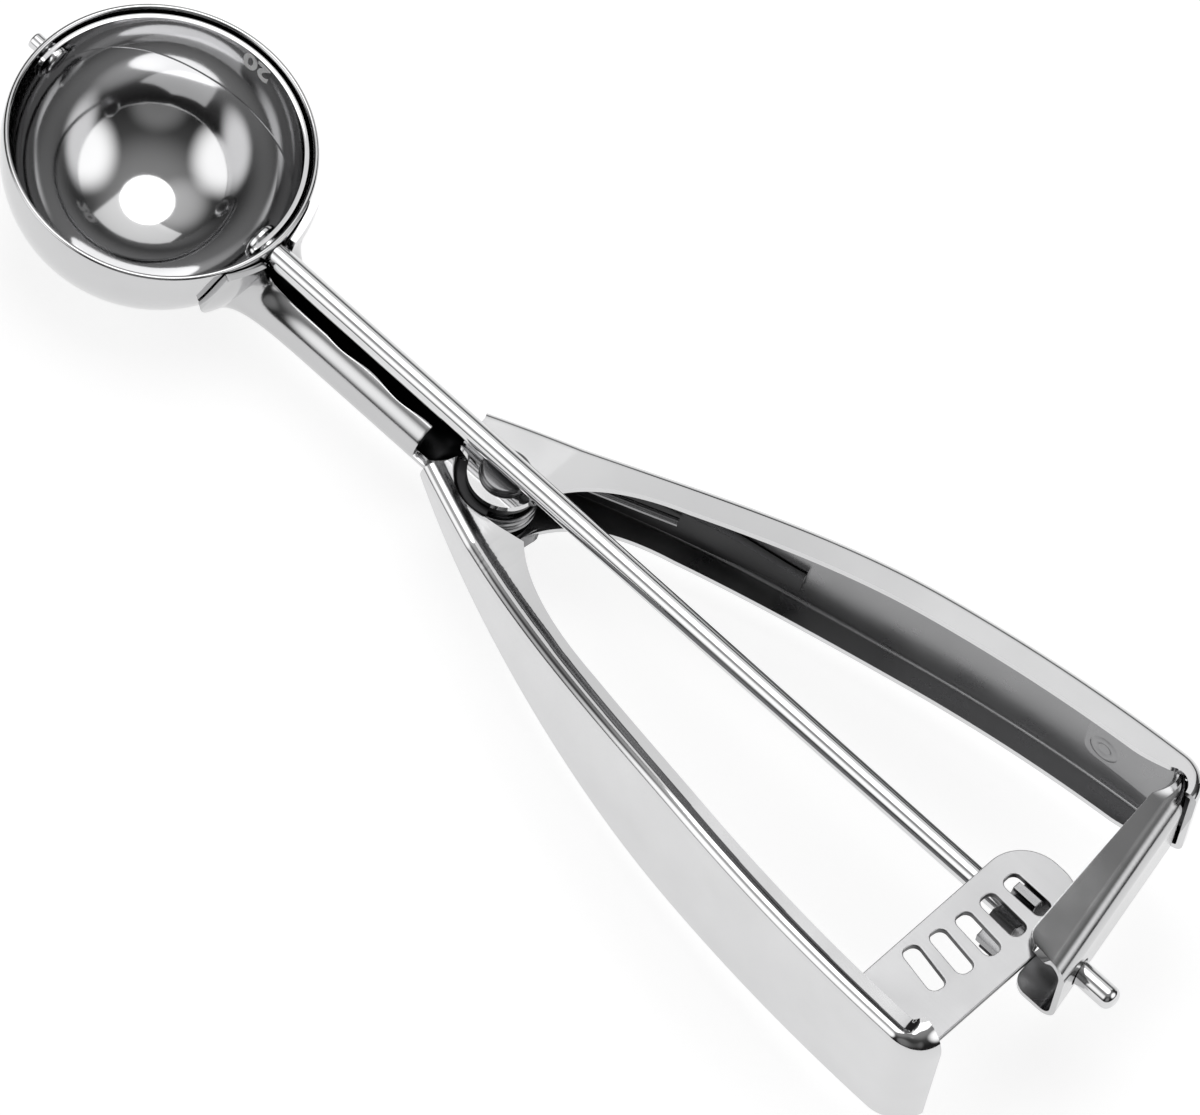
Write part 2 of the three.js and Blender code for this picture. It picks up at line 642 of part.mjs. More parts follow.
function springRoute() {
  const clear = RUNNING_GAP + WIRE_RADIUS;
  const fixedTip = fixedWeb.inside(SPRING_LEG_X, TAIL_OFFSET + SHANK_WALL + clear);
  const triggerTip = triggerWeb.inside(SPRING_LEG_X, SHEET + clear);
  triggerTip.y = -triggerTip.y;
  const start = coilTouch(fixedTip, 1);
  const turn = 2 * Math.PI;
  const end = coilTouch(triggerTip, -1) + turn * COIL_FULL_TURNS;
  const steps = Math.round(((end - start) / turn) * SPRING_STEPS_PER_TURN);
  const drop = ((end - start) / turn) * COIL_PITCH;
  const coil = spread(0, 1, steps).map((t) => {
    const plan = aboutPivot(between(start, end, t), COIL_RADIUS);
    return new THREE.Vector3(plan.x, plan.y, SPRING_TOP_Z - drop * t);
  });
  const first = new THREE.Vector3(fixedTip.x, fixedTip.y, SPRING_TOP_Z);
  const last = new THREE.Vector3(triggerTip.x, triggerTip.y, SPRING_TOP_Z - drop);
  return [first, ...coil, last];
}

/** Least gap between two stretches of the wire that lie at least half a turn apart along it. */
function leastGap(route) {
  let least = Infinity;
  const apart = SPRING_STEPS_PER_TURN / 2;
  const shares = spread(0, 1, WIRE_TEST_STEPS);
  const dense = route.slice(0, -1).flatMap((p, i) => {
    const next = route[i + 1];
    return shares.map((t) => ({ i, p: p.clone().lerp(next, t) }));
  });
  for (const a of dense) {
    for (const b of dense) {
      if (b.i - a.i >= apart) least = Math.min(least, a.p.distanceTo(b.p) - 2 * WIRE_RADIUS);
    }
  }
  return least;
}

function makeSpring() {
  const route = springRoute();
  console.log(`torsion_spring: least gap to itself ${leastGap(route).toFixed(2)} mm`);
  const up = new THREE.Vector3(0, 0, 1);
  return loft(route.map((p, i) => {
    const before = route[Math.max(i - 1, 0)];
    const after = route[Math.min(i + 1, route.length - 1)];
    const along = after.clone().sub(before).normalize();
    const side = along.clone().cross(up).normalize();
    const over = side.clone().cross(along);
    return Array.from({ length: WIRE_SIDES }, (_, k) => {
      const a = (2 * Math.PI * k) / WIRE_SIDES;
      const spoke = side.clone().multiplyScalar(Math.cos(a)).addScaledVector(over, Math.sin(a));
      return p.clone().addScaledVector(spoke, WIRE_RADIUS);
    });
  }));
}

// Pinion and rack

function makePinion() {
  const outline = [];
  for (let tooth = 0; tooth < TEETH; tooth += 1) {
    const angle = Math.PI / 2 + (2 * Math.PI * tooth) / TEETH;
    const corner = (radius, side) => new THREE.Vector2(radius, side).rotateAround(new THREE.Vector2(), angle);
    const [root, tip] = [PITCH_RADIUS - TOOTH_ROOT, PITCH_RADIUS + TOOTH_TIP];
    outline.push(corner(root, -TOOTH_ROOT_HALF), corner(tip, -TOOTH_TIP_HALF));
    outline.push(corner(tip, TOOTH_TIP_HALF), corner(root, TOOTH_ROOT_HALF));
  }
  const shape = new THREE.Shape(outline);
  shape.holes.push(new THREE.Path().absarc(0, 0, ROD_RADIUS + SEAT_GAP, 0, 2 * Math.PI, true));
  const gear = extruded(shape, PINION_WIDTH, ROUND_SIDES).applyMatrix4(ALONG_X);
  return solid(gear.translate(PINION_X - PINION_WIDTH / 2, 0, 0));
}

/** Rounded slot of the rack, a number of pitches from the one over the rod. */
function rackSlot(index) {
  const angle = (-index * TOOTH_PITCH) / RACK_RADIUS;
  const [halfLength, halfWidth] = [SLOT_LENGTH / 2 - SLOT_ROUND, SLOT_WIDTH / 2 - SLOT_ROUND];
  const points = [[1, 1], [-1, 1], [-1, -1], [1, -1]].flatMap(([sx, sy], quarter) => {
    const centre = new THREE.Vector2(RACK_RADIUS + sx * halfLength, sy * halfWidth);
    return spread(0, Math.PI / 2, SLOT_ROUND_STEPS).map((a) => {
      const turn = a + (quarter * Math.PI) / 2;
      return new THREE.Vector2(Math.cos(turn), Math.sin(turn)).multiplyScalar(SLOT_ROUND).add(centre);
    });
  });
  return new THREE.Path(points.map((p) => p.rotateAround(new THREE.Vector2(), angle).add(aboutPivot(0, 0))));
}

function makeRack() {
  const mirrorY = ({ x, y }) => new THREE.Vector2(x, -y);
  const tailX = spread(RACK_TAIL_REAR_X, RACK_TAIL_FRONT_X, RACK_TAIL_STEPS);
  const tailEdge = tailX.map((x) => mirrorY(triggerWeb.inside(x, TAIL_OFFSET)));
  const tabEdge = tailX.map((x) => mirrorY(triggerWeb.inside(x, TAIL_OFFSET + RACK_WALL)));
  const outline = new THREE.Shape();
  outline.moveTo(RACK_FRONT_X, RACK_SHOULDER_Y);
  outline.lineTo(RACK_TAIL_FRONT_X, RACK_SHOULDER_Y);
  [...tailEdge].reverse().forEach((p) => outline.lineTo(p.x, p.y));
  outline.lineTo(RACK_TAIL_REAR_X, RACK_SHOULDER_Y);
  outline.lineTo(RACK_REAR_X, RACK_SHOULDER_Y);
  const roundY = RACK_TIP_Y - RACK_TIP_ROUND;
  outline.absarc(RACK_REAR_X - RACK_TIP_ROUND, roundY, RACK_TIP_ROUND, 0, Math.PI / 2, false);
  outline.absarc(RACK_FRONT_X + RACK_TIP_ROUND, roundY, RACK_TIP_ROUND, Math.PI / 2, Math.PI, false);
  for (let i = 0; i < RACK_SLOTS; i += 1) outline.holes.push(rackSlot(i));
  const tab = new THREE.Shape([...tailEdge, ...tabEdge.reverse()]);
  return plate(outline, RACK_BOTTOM, RACK_TOP).add(plate(tab, RACK_TAB_BOTTOM, RACK_TOP));
}

// Rear bracket

/** Bend from the bracket's rear wall into its foot: its centre, and where the foot starts. */
function footBend() {
  const reach = BRACKET_BEND * Math.hypot(1, BRACKET_LEAN);
  let footX = BRACKET_REAR_X;
  for (let i = 0; i < BEND_TRIES; i += 1) {
    const centre = fixedWeb.inside(footX, TAIL_OFFSET + BRACKET_BEND);
    footX += BRACKET_REAR_X - BRACKET_LEAN * centre.y - reach - centre.x;
  }
  return { centre: fixedWeb.inside(footX, TAIL_OFFSET + BRACKET_BEND), footX };
}

/** Stations along the rear wall's outer face: rounded free end, leaning wall, then the bend. */
function bracketStations({ centre, footX }) {
  const lean = Math.atan(BRACKET_LEAN);
  const bendY = centre.y + BRACKET_BEND * Math.sin(lean);
  const wall = (y, cut) => {
    const t = (y - BRACKET_END_Y) / (bendY - BRACKET_END_Y);
    const point = new THREE.Vector2(BRACKET_REAR_X - BRACKET_LEAN * y, y);
    return { point, angle: lean * t, depth: between(BRACKET_DEPTH, BRACKET_ROOT_DEPTH, t) - cut };
  };
  const end = spread(0, Math.PI / 2, EDGE_STEPS).map((a) => {
    const y = BRACKET_END_Y + BRACKET_CORNER * (1 - Math.cos(a));
    return wall(y, BRACKET_CORNER * (1 - Math.sin(a)));
  });
  const straight = spread(BRACKET_END_Y + BRACKET_CORNER, bendY, BRACKET_STEPS).slice(1, -1);
  const turned = spread(lean, Math.PI / 2 + fixedWeb.headingAt(footX), BEND_STEPS).map((angle) => {
    const out = new THREE.Vector2(Math.cos(angle), Math.sin(angle));
    return { point: centre.clone().addScaledVector(out, BRACKET_BEND), angle, depth: BRACKET_ROOT_DEPTH };
  });
  return [...end, ...straight.map((y) => wall(y, 0)), ...turned];
}

/** One section of the bracket's C. */
function bracketRing({ point, angle, depth }) {
  const skin = (inset) => {
    const radius = BRACKET_ROUND - inset;
    const quarter = spread(0, Math.PI / 2, EDGE_STEPS);
    const [highZ, lowZ] = [BRACKET_TOP - BRACKET_ROUND, BRACKET_BOTTOM + BRACKET_ROUND];
    const upper = quarter.map((a) => [BRACKET_ROUND - radius * Math.sin(a), highZ + radius * Math.cos(a)]);
    const lower = quarter.map((a) => [BRACKET_ROUND - radius * Math.cos(a), lowZ - radius * Math.sin(a)]);
    const path = [[depth, BRACKET_TOP - inset], ...upper, ...lower, [depth, BRACKET_BOTTOM + inset]];
    const [outX, outY] = [Math.cos(angle), Math.sin(angle)];
    return path.map(([inward, z]) => new THREE.Vector3(point.x - outX * inward, point.y - outY * inward, z));
  };
  return [...skin(0), ...skin(BRACKET_WALL).reverse()];
}

function makeBracket() {
  const bend = footBend();
  const body = loft(bracketStations(bend).map(bracketRing));
  const footX = spread(FOOT_FRONT_X, bend.footX + BRACKET_WALL / 2, FOOT_STEPS);
  const foot = new THREE.Shape([
    ...footX.map((x) => fixedWeb.inside(x, TAIL_OFFSET)),
    ...footX.map((x) => fixedWeb.inside(x, TAIL_OFFSET + BRACKET_WALL)).reverse(),
  ]);
  const rodBore = barAlongX(ROD_RADIUS + RUNNING_GAP, BRACKET_REAR_X - BRACKET_DEPTH, ROD_END_X);
  return body.add(plate(foot, FOOT_BOTTOM, FOOT_TOP)).subtract(rodBore);
}

// The scoop

const BRIGHT = { color: 0xd9dbdd, roughness: 0.14 };
const SATIN = { color: 0xb4b6b8, roughness: 0.28 };

const scoop = new THREE.Group();
scoop.add(
  part('bowl', makeBowl(), BRIGHT),
  part('shank', makeShank(), BRIGHT),
  part('fixed_handle', makeFixedHandle(), BRIGHT),
  part('rear_bracket', makeBracket(), BRIGHT),
  part('pivot_rivet', makeRivet(), SATIN),
  part('torsion_spring', makeSpring(), SATIN),
  part('trigger_handle', makeTriggerHandle(), BRIGHT),
  part('rack_plate', makeRack(), SATIN),
  part('drive_rod', makeRod(), BRIGHT),
  part('pinion', makePinion(), SATIN),
  part('scraper_blade', makeBlade(), BRIGHT),
  part('toe_pin', makeToePin(), BRIGHT),
);
scoop.position.set(-(TOE_X + ROD_END_X) / 2, 0, BOWL_RADIUS);

export default scoop;
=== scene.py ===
"""A squeeze-handle ice cream scoop in polished stainless steel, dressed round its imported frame."""

import logging
import math
from collections.abc import Callable, Iterable, Sequence
from dataclasses import dataclass
from enum import Enum

import bmesh
import bpy
from bpy.types import Curve, Material, Mesh, NodeSocket, NodeTree, Object, Scene
from mathutils import Matrix, Vector


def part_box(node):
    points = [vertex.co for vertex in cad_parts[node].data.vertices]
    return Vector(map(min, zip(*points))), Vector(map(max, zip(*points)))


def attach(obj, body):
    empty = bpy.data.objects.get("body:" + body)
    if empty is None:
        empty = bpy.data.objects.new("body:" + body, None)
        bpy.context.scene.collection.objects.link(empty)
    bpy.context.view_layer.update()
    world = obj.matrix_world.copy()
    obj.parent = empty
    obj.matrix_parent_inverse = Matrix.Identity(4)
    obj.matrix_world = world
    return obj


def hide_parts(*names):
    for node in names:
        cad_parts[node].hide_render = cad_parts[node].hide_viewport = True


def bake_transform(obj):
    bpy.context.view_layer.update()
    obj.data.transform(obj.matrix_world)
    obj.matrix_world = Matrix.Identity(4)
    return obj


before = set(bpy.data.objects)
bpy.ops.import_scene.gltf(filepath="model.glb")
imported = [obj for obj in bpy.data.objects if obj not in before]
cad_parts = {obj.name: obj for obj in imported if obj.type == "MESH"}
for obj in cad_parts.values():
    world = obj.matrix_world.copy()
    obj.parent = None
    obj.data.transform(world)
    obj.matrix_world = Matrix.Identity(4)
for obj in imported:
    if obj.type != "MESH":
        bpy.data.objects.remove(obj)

LOG = logging.getLogger("scoop")
MM = 0.001
TURN = 2 * math.pi

# Faces round small and large turned pieces
ROUND = 48
FINE_ROUND = 64

# Angles past which edges stay sharp, in degrees
TURNED_CREASE = 40.0
PLATE_CREASE = 5.0
SHEET_CREASE = 12.0
ROUND_CREASE = 50.0

Place = Callable[[float, float], Vector]
Pair = tuple[float, float]
Triple = tuple[float, float, float]


def rod_frame() -> Matrix:
    """Give the way from millimetres about the bowl's centre, on the rod's axis, to the row frame.

    Returns:
        The matrix, with its origin read from the bowl and the drive rod.
    """
    bowl_low, bowl_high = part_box("bowl")
    rod_low, rod_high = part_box("drive_rod")
    middle = (rod_low + rod_high) / 2
    middle.x = (bowl_low.x + bowl_high.x) / 2
    return Matrix.Translation(middle) @ Matrix.Scale(MM, 4)


ROW = rod_frame()


def between(low: float, high: float, share: float) -> float:
    """Go a share of the way from one number to another."""
    return low + (high - low) * share


def smooth(value: float, low: float, high: float) -> float:
    """Rise smoothly from 0 at the low value to 1 at the high one."""
    share = min(max((value - low) / (high - low), 0.0), 1.0)
    return share * share * (3 - 2 * share)


def spread(low: float, high: float, steps: int) -> list[float]:
    """List evenly spread numbers, both ends included."""
    return [between(low, high, i / steps) for i in range(steps + 1)]


def arc(centre: Sequence[float], radius: float, start: float, end: float, steps: int) -> list[Pair]:
    """List the points of an arc.

    Args:
        centre: Its centre, in the plane that it lies in.
        radius: Its radius.
        start: Angle of the first point, in radians.
        end: Angle of the last point.
        steps: Number of chords.

    Returns:
        The points, both ends included.
    """
    return [
        (centre[0] + radius * math.cos(a), centre[1] + radius * math.sin(a))
        for a in spread(start, end, steps)
    ]


def bezier(start: Vector, bend: Vector, end: Vector, share: float) -> Vector:
    """Give a point of a curve with one bend."""
    return start.lerp(bend, share).lerp(bend.lerp(end, share), share)


def combined(tree: NodeTree, operation: str, first: NodeSocket, second: NodeSocket | float) -> NodeSocket:
    """Combine two values of a node tree.

    Args:
        tree: Node tree to add to.
        operation: What is done with them.
        first: The first value.
        second: The second one, another value or a number.

    Returns:
        The outcome.
    """
    node = tree.nodes.new("ShaderNodeMath")
    node.operation = operation
    tree.links.new(first, node.inputs[0])
    if isinstance(second, NodeSocket):
        tree.links.new(second, node.inputs[1])
    else:
        node.inputs[1].default_value = second
    return node.outputs["Value"]


def ranged(
    tree: NodeTree, value: NodeSocket, source: Pair, goal: Pair, ease: str = "SMOOTHSTEP"
) -> NodeSocket:
    """Map a value of a node tree from one range to another.

    Args:
        tree: Node tree to add to.
        value: The value.
        source: Range that it is read over.
        goal: Range that it is mapped to.
        ease: How it runs from end to end.

    Returns:
        The mapped value.
    """
    node = tree.nodes.new("ShaderNodeMapRange")
    node.interpolation_type = ease
    for name, number in zip(("From Min", "From Max", "To Min", "To Max"), (*source, *goal)):
        node.inputs[name].default_value = number
    tree.links.new(value, node.inputs["Value"])
    return node.outputs["Result"]


class Bands:
    """Shares a run of grid columns among the stretches of a section, in order."""

    SLACK = 1e-6

    def __init__(self, *columns: int) -> None:
        """Take the number of columns of each stretch."""
        self.columns = columns
        self.total = sum(columns)

    def find(self, share: float) -> tuple[int, float]:
        """Find the stretch that a place lies in.

        Args:
            share: The place, from 0 to 1 over all the columns.

        Returns:
            The stretch's number and the share of it that is passed.
        """
        column = share * self.total
        for number, count in enumerate(self.columns):
            if column <= count + self.SLACK:
                return number, min(max(column / count, 0.0), 1.0)
            column -= count
        return len(self.columns) - 1, 1.0


class Axis(Enum):
    """Axis that a turned piece is spun about."""

    ROD = "X"
    UPRIGHT = "Z"

    def point(self, along: float, radius: float) -> Vector:
        """Place a profile's point in the plane that is spun."""
        return Vector((along, 0, radius)) if self is Axis.ROD else Vector((radius, 0, along))

    @property
    def direction(self) -> Vector:
        """The axis as a vector."""
        return Vector((1, 0, 0)) if self is Axis.ROD else Vector((0, 0, 1))


class Grain(Enum):
    """How the steel's surface was finished."""

    POLISHED = "polished"
    SATIN = "satin"
    STAMPED = "stamped"


@dataclass(frozen=True)
class Scuff:
    """A rubbed patch, in millimetres about the bowl's centre."""

    centre: Triple
    radius: float
    depth: float


@dataclass(frozen=True)
class Steel:
    """A finish of stainless steel."""

    name: str
    tone: Triple
    roughness: float
    swing: float
    grain: Grain
    dents: float
    metal: float = 1.0
    scuff: Scuff | None = None

    # Patterns in the steel: waves for each metre, octaves, stretch, and depths in millimetres
    CLOUD_SCALE = 120.0
    CLOUD_DETAIL = 4.0
    CLOUD_SPAN = (0.3, 0.7)
    DENT_SCALE = 70.0
    DENT_DETAIL = 1.0
    GRAIN_DETAIL = 3.0
    SCUFF_SCALE = 950.0
    SCUFF_DETAIL = 2.0
    SCUFF_CORE = 0.35
    SCUFF_TURN = (0.0, 0.0, math.radians(35))
    SCUFF_STRETCH = (1.0, 0.22, 1.0)
    GRAIN_SCALES = {Grain.POLISHED: 900.0, Grain.SATIN: 2600.0, Grain.STAMPED: 1800.0}
    GRAIN_DEPTHS = {Grain.POLISHED: 0.0012, Grain.SATIN: 0.004, Grain.STAMPED: 0.005}
    GRAIN_STRETCH = (0.06, 1.0, 1.0)
    TONE_SWING = 0.06

    def material(self) -> Material:
        """Make the finish's material, or give the one that is already made.

        Returns:
            The material, on Object coordinates.
        """
        made = bpy.data.materials.get(self.name)
        return made if made is not None else self._new_material()

    def _new_material(self) -> Material:
        """Build the shader from cloudy roughness, a fine grain and slow dents.

        Returns:
            The new material.
        """
        material = bpy.data.materials.new(self.name)
        material.use_nodes = True
        tree = material.node_tree
        shader = tree.nodes["Principled BSDF"]
        shader.inputs["Metallic"].default_value = self.metal
        place = tree.nodes.new("ShaderNodeTexCoord").outputs["Object"]
        cloud = self._noise(tree, place, self.CLOUD_SCALE, self.CLOUD_DETAIL)
        limits = max(self.roughness - self.swing, 0.0), self.roughness + self.swing
        tree.links.new(ranged(tree, cloud, self.CLOUD_SPAN, limits, "LINEAR"), shader.inputs["Roughness"])
        ramp = tree.nodes.new("ShaderNodeValToRGB")
        for stop, factor in zip(ramp.color_ramp.elements, (1 - self.TONE_SWING, 1 + self.TONE_SWING)):
            stop.color = (*(min(channel * factor, 1.0) for channel in self.tone), 1.0)
        tree.links.new(cloud, ramp.inputs["Fac"])
        tree.links.new(ramp.outputs["Color"], shader.inputs["Base Color"])
        stretched = tree.nodes.new("ShaderNodeMapping")
        stretched.inputs["Scale"].default_value = self.GRAIN_STRETCH
        tree.links.new(place, stretched.inputs["Vector"])
        scale = self.GRAIN_SCALES[self.grain]
        grain = self._noise(tree, stretched.outputs["Vector"], scale, self.GRAIN_DETAIL)
        normal = self._bump(tree, grain, self.GRAIN_DEPTHS[self.grain] * MM, None)
        dent = self._noise(tree, place, self.DENT_SCALE, self.DENT_DETAIL)
        normal = self._bump(tree, dent, self.dents * MM, normal)
        if self.scuff is not None:
            normal = self._scuffed(tree, place, normal)
        tree.links.new(normal, shader.inputs["Normal"])
        return material

    @staticmethod
    def _noise(tree: NodeTree, place: NodeSocket, scale: float, detail: float) -> NodeSocket:
        """Add a noise pattern.

        Args:
            tree: Node tree to add to.
            place: Coordinates to read.
            scale: Waves for each metre.
            detail: Octaves of finer noise.

        Returns:
            The pattern's value.
        """
        noise = tree.nodes.new("ShaderNodeTexNoise")
        noise.inputs["Scale"].default_value = scale
        noise.inputs["Detail"].default_value = detail
        tree.links.new(place, noise.inputs["Vector"])
        return noise.outputs["Fac"]

    @staticmethod
    def _bump(tree: NodeTree, height: NodeSocket, depth: float, normal: NodeSocket | None) -> NodeSocket:
        """Add a relief.

        Args:
            tree: Node tree to add to.
            height: Pattern of the relief.
            depth: Its height, in metres.
            normal: Relief that it lies on, if any.

        Returns:
            The normal with the relief in it.
        """
        bump = tree.nodes.new("ShaderNodeBump")
        bump.inputs["Strength"].default_value = 1.0
        bump.inputs["Distance"].default_value = depth
        tree.links.new(height, bump.inputs["Height"])
        if normal is not None:
            tree.links.new(normal, bump.inputs["Normal"])
        return bump.outputs["Normal"]

    def _scuffed(self, tree: NodeTree, place: NodeSocket, normal: NodeSocket) -> NodeSocket:
        """Rub the steel in a round patch.

        Args:
            tree: Node tree to add to.
            place: Object coordinates.
            normal: Relief that the patch lies on.

        Returns:
            The normal with the patch in it.
        """
        away = tree.nodes.new("ShaderNodeVectorMath")
        away.operation = "DISTANCE"
        away.inputs[1].default_value = ROW @ Vector(self.scuff.centre)
        tree.links.new(place, away.inputs[0])
        reach = self.scuff.radius * MM
        mask = ranged(tree, away.outputs["Value"], (reach, reach * self.SCUFF_CORE), (0.0, 1.0))
        strokes = tree.nodes.new("ShaderNodeMapping")
        strokes.inputs["Rotation"].default_value = self.SCUFF_TURN
        strokes.inputs["Scale"].default_value = self.SCUFF_STRETCH
        tree.links.new(place, strokes.inputs["Vector"])
        pits = self._noise(tree, strokes.outputs["Vector"], self.SCUFF_SCALE, self.SCUFF_DETAIL)
        rubbed = combined(tree, "MULTIPLY", pits, mask)
        return self._bump(tree, rubbed, self.scuff.depth * MM, normal)


MIRROR = Steel("mirror_steel", (0.68, 0.68, 0.685), 0.08, 0.02, Grain.POLISHED, 0.010)
BOWL_MIRROR = Steel("bowl_mirror_steel", (0.58, 0.58, 0.585), 0.12, 0.03, Grain.POLISHED, 0.004)
BOWL_INSIDE = Steel("bowl_inside_steel", (0.62, 0.62, 0.625), 0.07, 0.02, Grain.POLISHED, 0.004)
TRIGGER_MIRROR = Steel(
    "trigger_mirror_steel",
    (0.66, 0.66, 0.665),
    0.09,
    0.02,
    Grain.POLISHED,
    0.010,
    scuff=Scuff((69.5, -9.5, -3.0), 4.0, 0.05),
)
ROLLED = Steel("rolled_steel", (0.54, 0.54, 0.545), 0.14, 0.04, Grain.STAMPED, 0.03)
# Inner walls of the sheets: a rougher stamped face, with its tone darkened as painted shade inside the
# channels
INSIDE_STAMPED_AND_SHADE = Steel("inside_stamped_painted_shade", (0.30, 0.30, 0.305), 0.30, 0.06, Grain.STAMPED, 0.012)
# Near-black painted shade, not a finish of the steel: the neck's hollow and the trigger's ears in the gap
# under the fixed handle's lobe
HOLLOW_PAINTED_SHADE = Steel("hollow_painted_shade", (0.03, 0.03, 0.031), 0.34, 0.06, Grain.STAMPED, 0.012)
# Dark painted shade for the step beside the trigger's crown, standing in for the shade and dark reflection
# there
STEP_PAINTED_SHADE = Steel("step_painted_shade", (0.20, 0.20, 0.205), 0.20, 0.04, Grain.POLISHED, 0.010)
SATIN = Steel("satin_steel_plate", (0.46, 0.46, 0.465), 0.32, 0.05, Grain.SATIN, 0.004)
SHEARED = Steel("sheared_edge", (0.10, 0.10, 0.102), 0.36, 0.05, Grain.STAMPED, 0.004)
BRACKET = Steel("bracket_steel", (0.58, 0.58, 0.585), 0.18, 0.04, Grain.SATIN, 0.012)
WIRE = Steel("spring_wire", (0.30, 0.30, 0.305), 0.22, 0.05, Grain.STAMPED, 0.004)
RIVET = Steel("rivet_steel", (0.18, 0.18, 0.184), 0.24, 0.08, Grain.STAMPED, 0.03)
FIGURE = Steel("frosted_figures", (0.84, 0.84, 0.84), 0.60, 0.05, Grain.SATIN, 0.002, metal=0.0)


class Blank:
    """A mesh being shaped, in millimetres about the bowl's centre on the rod's axis."""

    MERGE = 1e-3
    EDGE_SEGMENTS = 3
    EDGE_ANGLE = math.radians(50)

    def __init__(self) -> None:
        """Start with nothing."""
        self.bm = bmesh.new()

    def surface(self, columns: int, rows: int, place: Place, finish: int = 0) -> None:
        """Lay a grid over a surface.

        Args:
            columns: Faces along u.
            rows: Faces along v.
            place: Point of the surface for u and v from 0 to 1.
            finish: Which of the piece's finishes it has.
        """
        made = bmesh.ops.create_grid(self.bm, x_segments=columns, y_segments=rows, size=0.5)
        for vert in made["verts"]:
            vert.co = place(vert.co.x + 0.5, vert.co.y + 0.5)
            for face in vert.link_faces:
                face.material_index = finish

    def turned(self, profile: Iterable[Pair], axis: Axis, steps: int, x: float = 0.0) -> None:
        """Spin a profile into a closed body.

        Args:
            profile: Pairs of a place along the axis and a radius.
            axis: Axis of the spin.
            steps: Faces round it.
            x: Where an upright axis stands.
        """
        centre = Vector((0 if axis is Axis.ROD else x, 0, 0))
        verts = [self.bm.verts.new(axis.point(along, radius) + centre) for along, radius in profile]
        edges = [self.bm.edges.new(pair) for pair in zip(verts, verts[1:])]
        bmesh.ops.spin(
            self.bm,
            geom=verts + edges,
            cent=centre,
            axis=axis.direction,
            angle=TURN,
            steps=steps,
            use_merge=True,
        )
        self.close()

    def close(self) -> None:
        """Merge doubled corners and turn closed bodies outwards."""
        bmesh.ops.remove_doubles(self.bm, verts=self.bm.verts, dist=self.MERGE)
        bmesh.ops.recalc_face_normals(self.bm, faces=self.bm.faces)

    def face(self, outwards: Sequence[float]) -> None:
        """Merge a sheet's doubled corners and turn its outer side outwards.

        Args:
            outwards: Direction that the sheet's outermost face looks in.
        """
        self.close()
        way = Vector(outwards)
        outermost = max(self.bm.faces, key=lambda face: face.calc_center_median().dot(way))
        if outermost.normal.dot(way) < 0:
            bmesh.ops.reverse_faces(self.bm, faces=self.bm.faces)

    def add_mesh(self, mesh: Mesh, place: Matrix) -> None:
        """Take in a mesh and drop the original.

        Args:
            mesh: Mesh to take in.
            place: Where it goes, in millimetres.
        """
        mesh.transform(place)
        self.bm.from_mesh(mesh)
        bpy.data.meshes.remove(mesh)

    def piece(
        self, name: str, finishes: Sequence[Steel], wall: float = 0.0, edge: float = 0.0, crease: float = 0.0
    ) -> Object:
        """Finish the mesh as an object in the row frame.

        Args:
            name: The piece's name.
            finishes: Its finish, that of its inner wall if it is a sheet, and others that its parts have.
            wall: Thickness that a sheet is given, inwards.
            edge: Rounding of its sharp edges.
            crease: Angle past which its edges are shaded sharp, in degrees.

        Returns:
            The new object, at the origin.
        """
        self.bm.transform(ROW)
        mesh = bpy.data.meshes.new(name)
        self.bm.to_mesh(mesh)
        self.bm.free()
        for finish in finishes:
            mesh.materials.append(finish.material())
        mesh.shade_smooth()
        made = bpy.data.objects.new(name, mesh)
        bpy.context.scene.collection.objects.link(made)
        if wall > 0:
            sheet = made.modifiers.new("sheet", "SOLIDIFY")
            sheet.thickness = wall * MM
            sheet.offset = -1.0
            sheet.use_quality_normals = True
            sheet.material_offset = min(len(finishes) - 1, 1)
        if edge > 0:
            rounding = made.modifiers.new("edges", "BEVEL")
            rounding.width = edge * MM
            rounding.segments = self.EDGE_SEGMENTS
            rounding.limit_method = "ANGLE"
            rounding.angle_limit = self.EDGE_ANGLE
        if wall > 0 or edge > 0:
            settle(made)
        if crease > 0:
            made.data.set_sharp_from_angle(angle=math.radians(crease))
        return made


def settle(piece: Object) -> None:
    """Make what a piece's modifiers give its own mesh.

    Args:
        piece: The object, which loses its modifiers.
    """
    graph = bpy.context.evaluated_depsgraph_get()
    old = piece.data
    piece.data = bpy.data.meshes.new_from_object(piece.evaluated_get(graph))
    piece.modifiers.clear()
    bpy.data.meshes.remove(old)


def bore(
    piece: Object, radius: float, start: float, end: float, axis: Axis = Axis.ROD, x: float = 0.0
) -> None:
    """Cut a round hole.

    Args:
        piece: What is cut.
        radius: The hole's radius.
        start: Where it starts along its axis.
        end: Where it ends.
        axis: Axis that it runs along.
        x: Where an upright axis stands.
    """
    drill = Blank()
    drill.turned([(start, 0), (start, radius), (end, radius), (end, 0)], axis, ROUND, x)
    cutter = drill.piece("drill", [])
    cut = piece.modifiers.new("bore", "BOOLEAN")
    cut.operation = "DIFFERENCE"
    cut.solver = "EXACT"
    cut.object = cutter
    settle(piece)
    piece.data.set_sharp_from_angle(angle=math.radians(ROUND_CREASE))
    bpy.data.objects.remove(cutter)


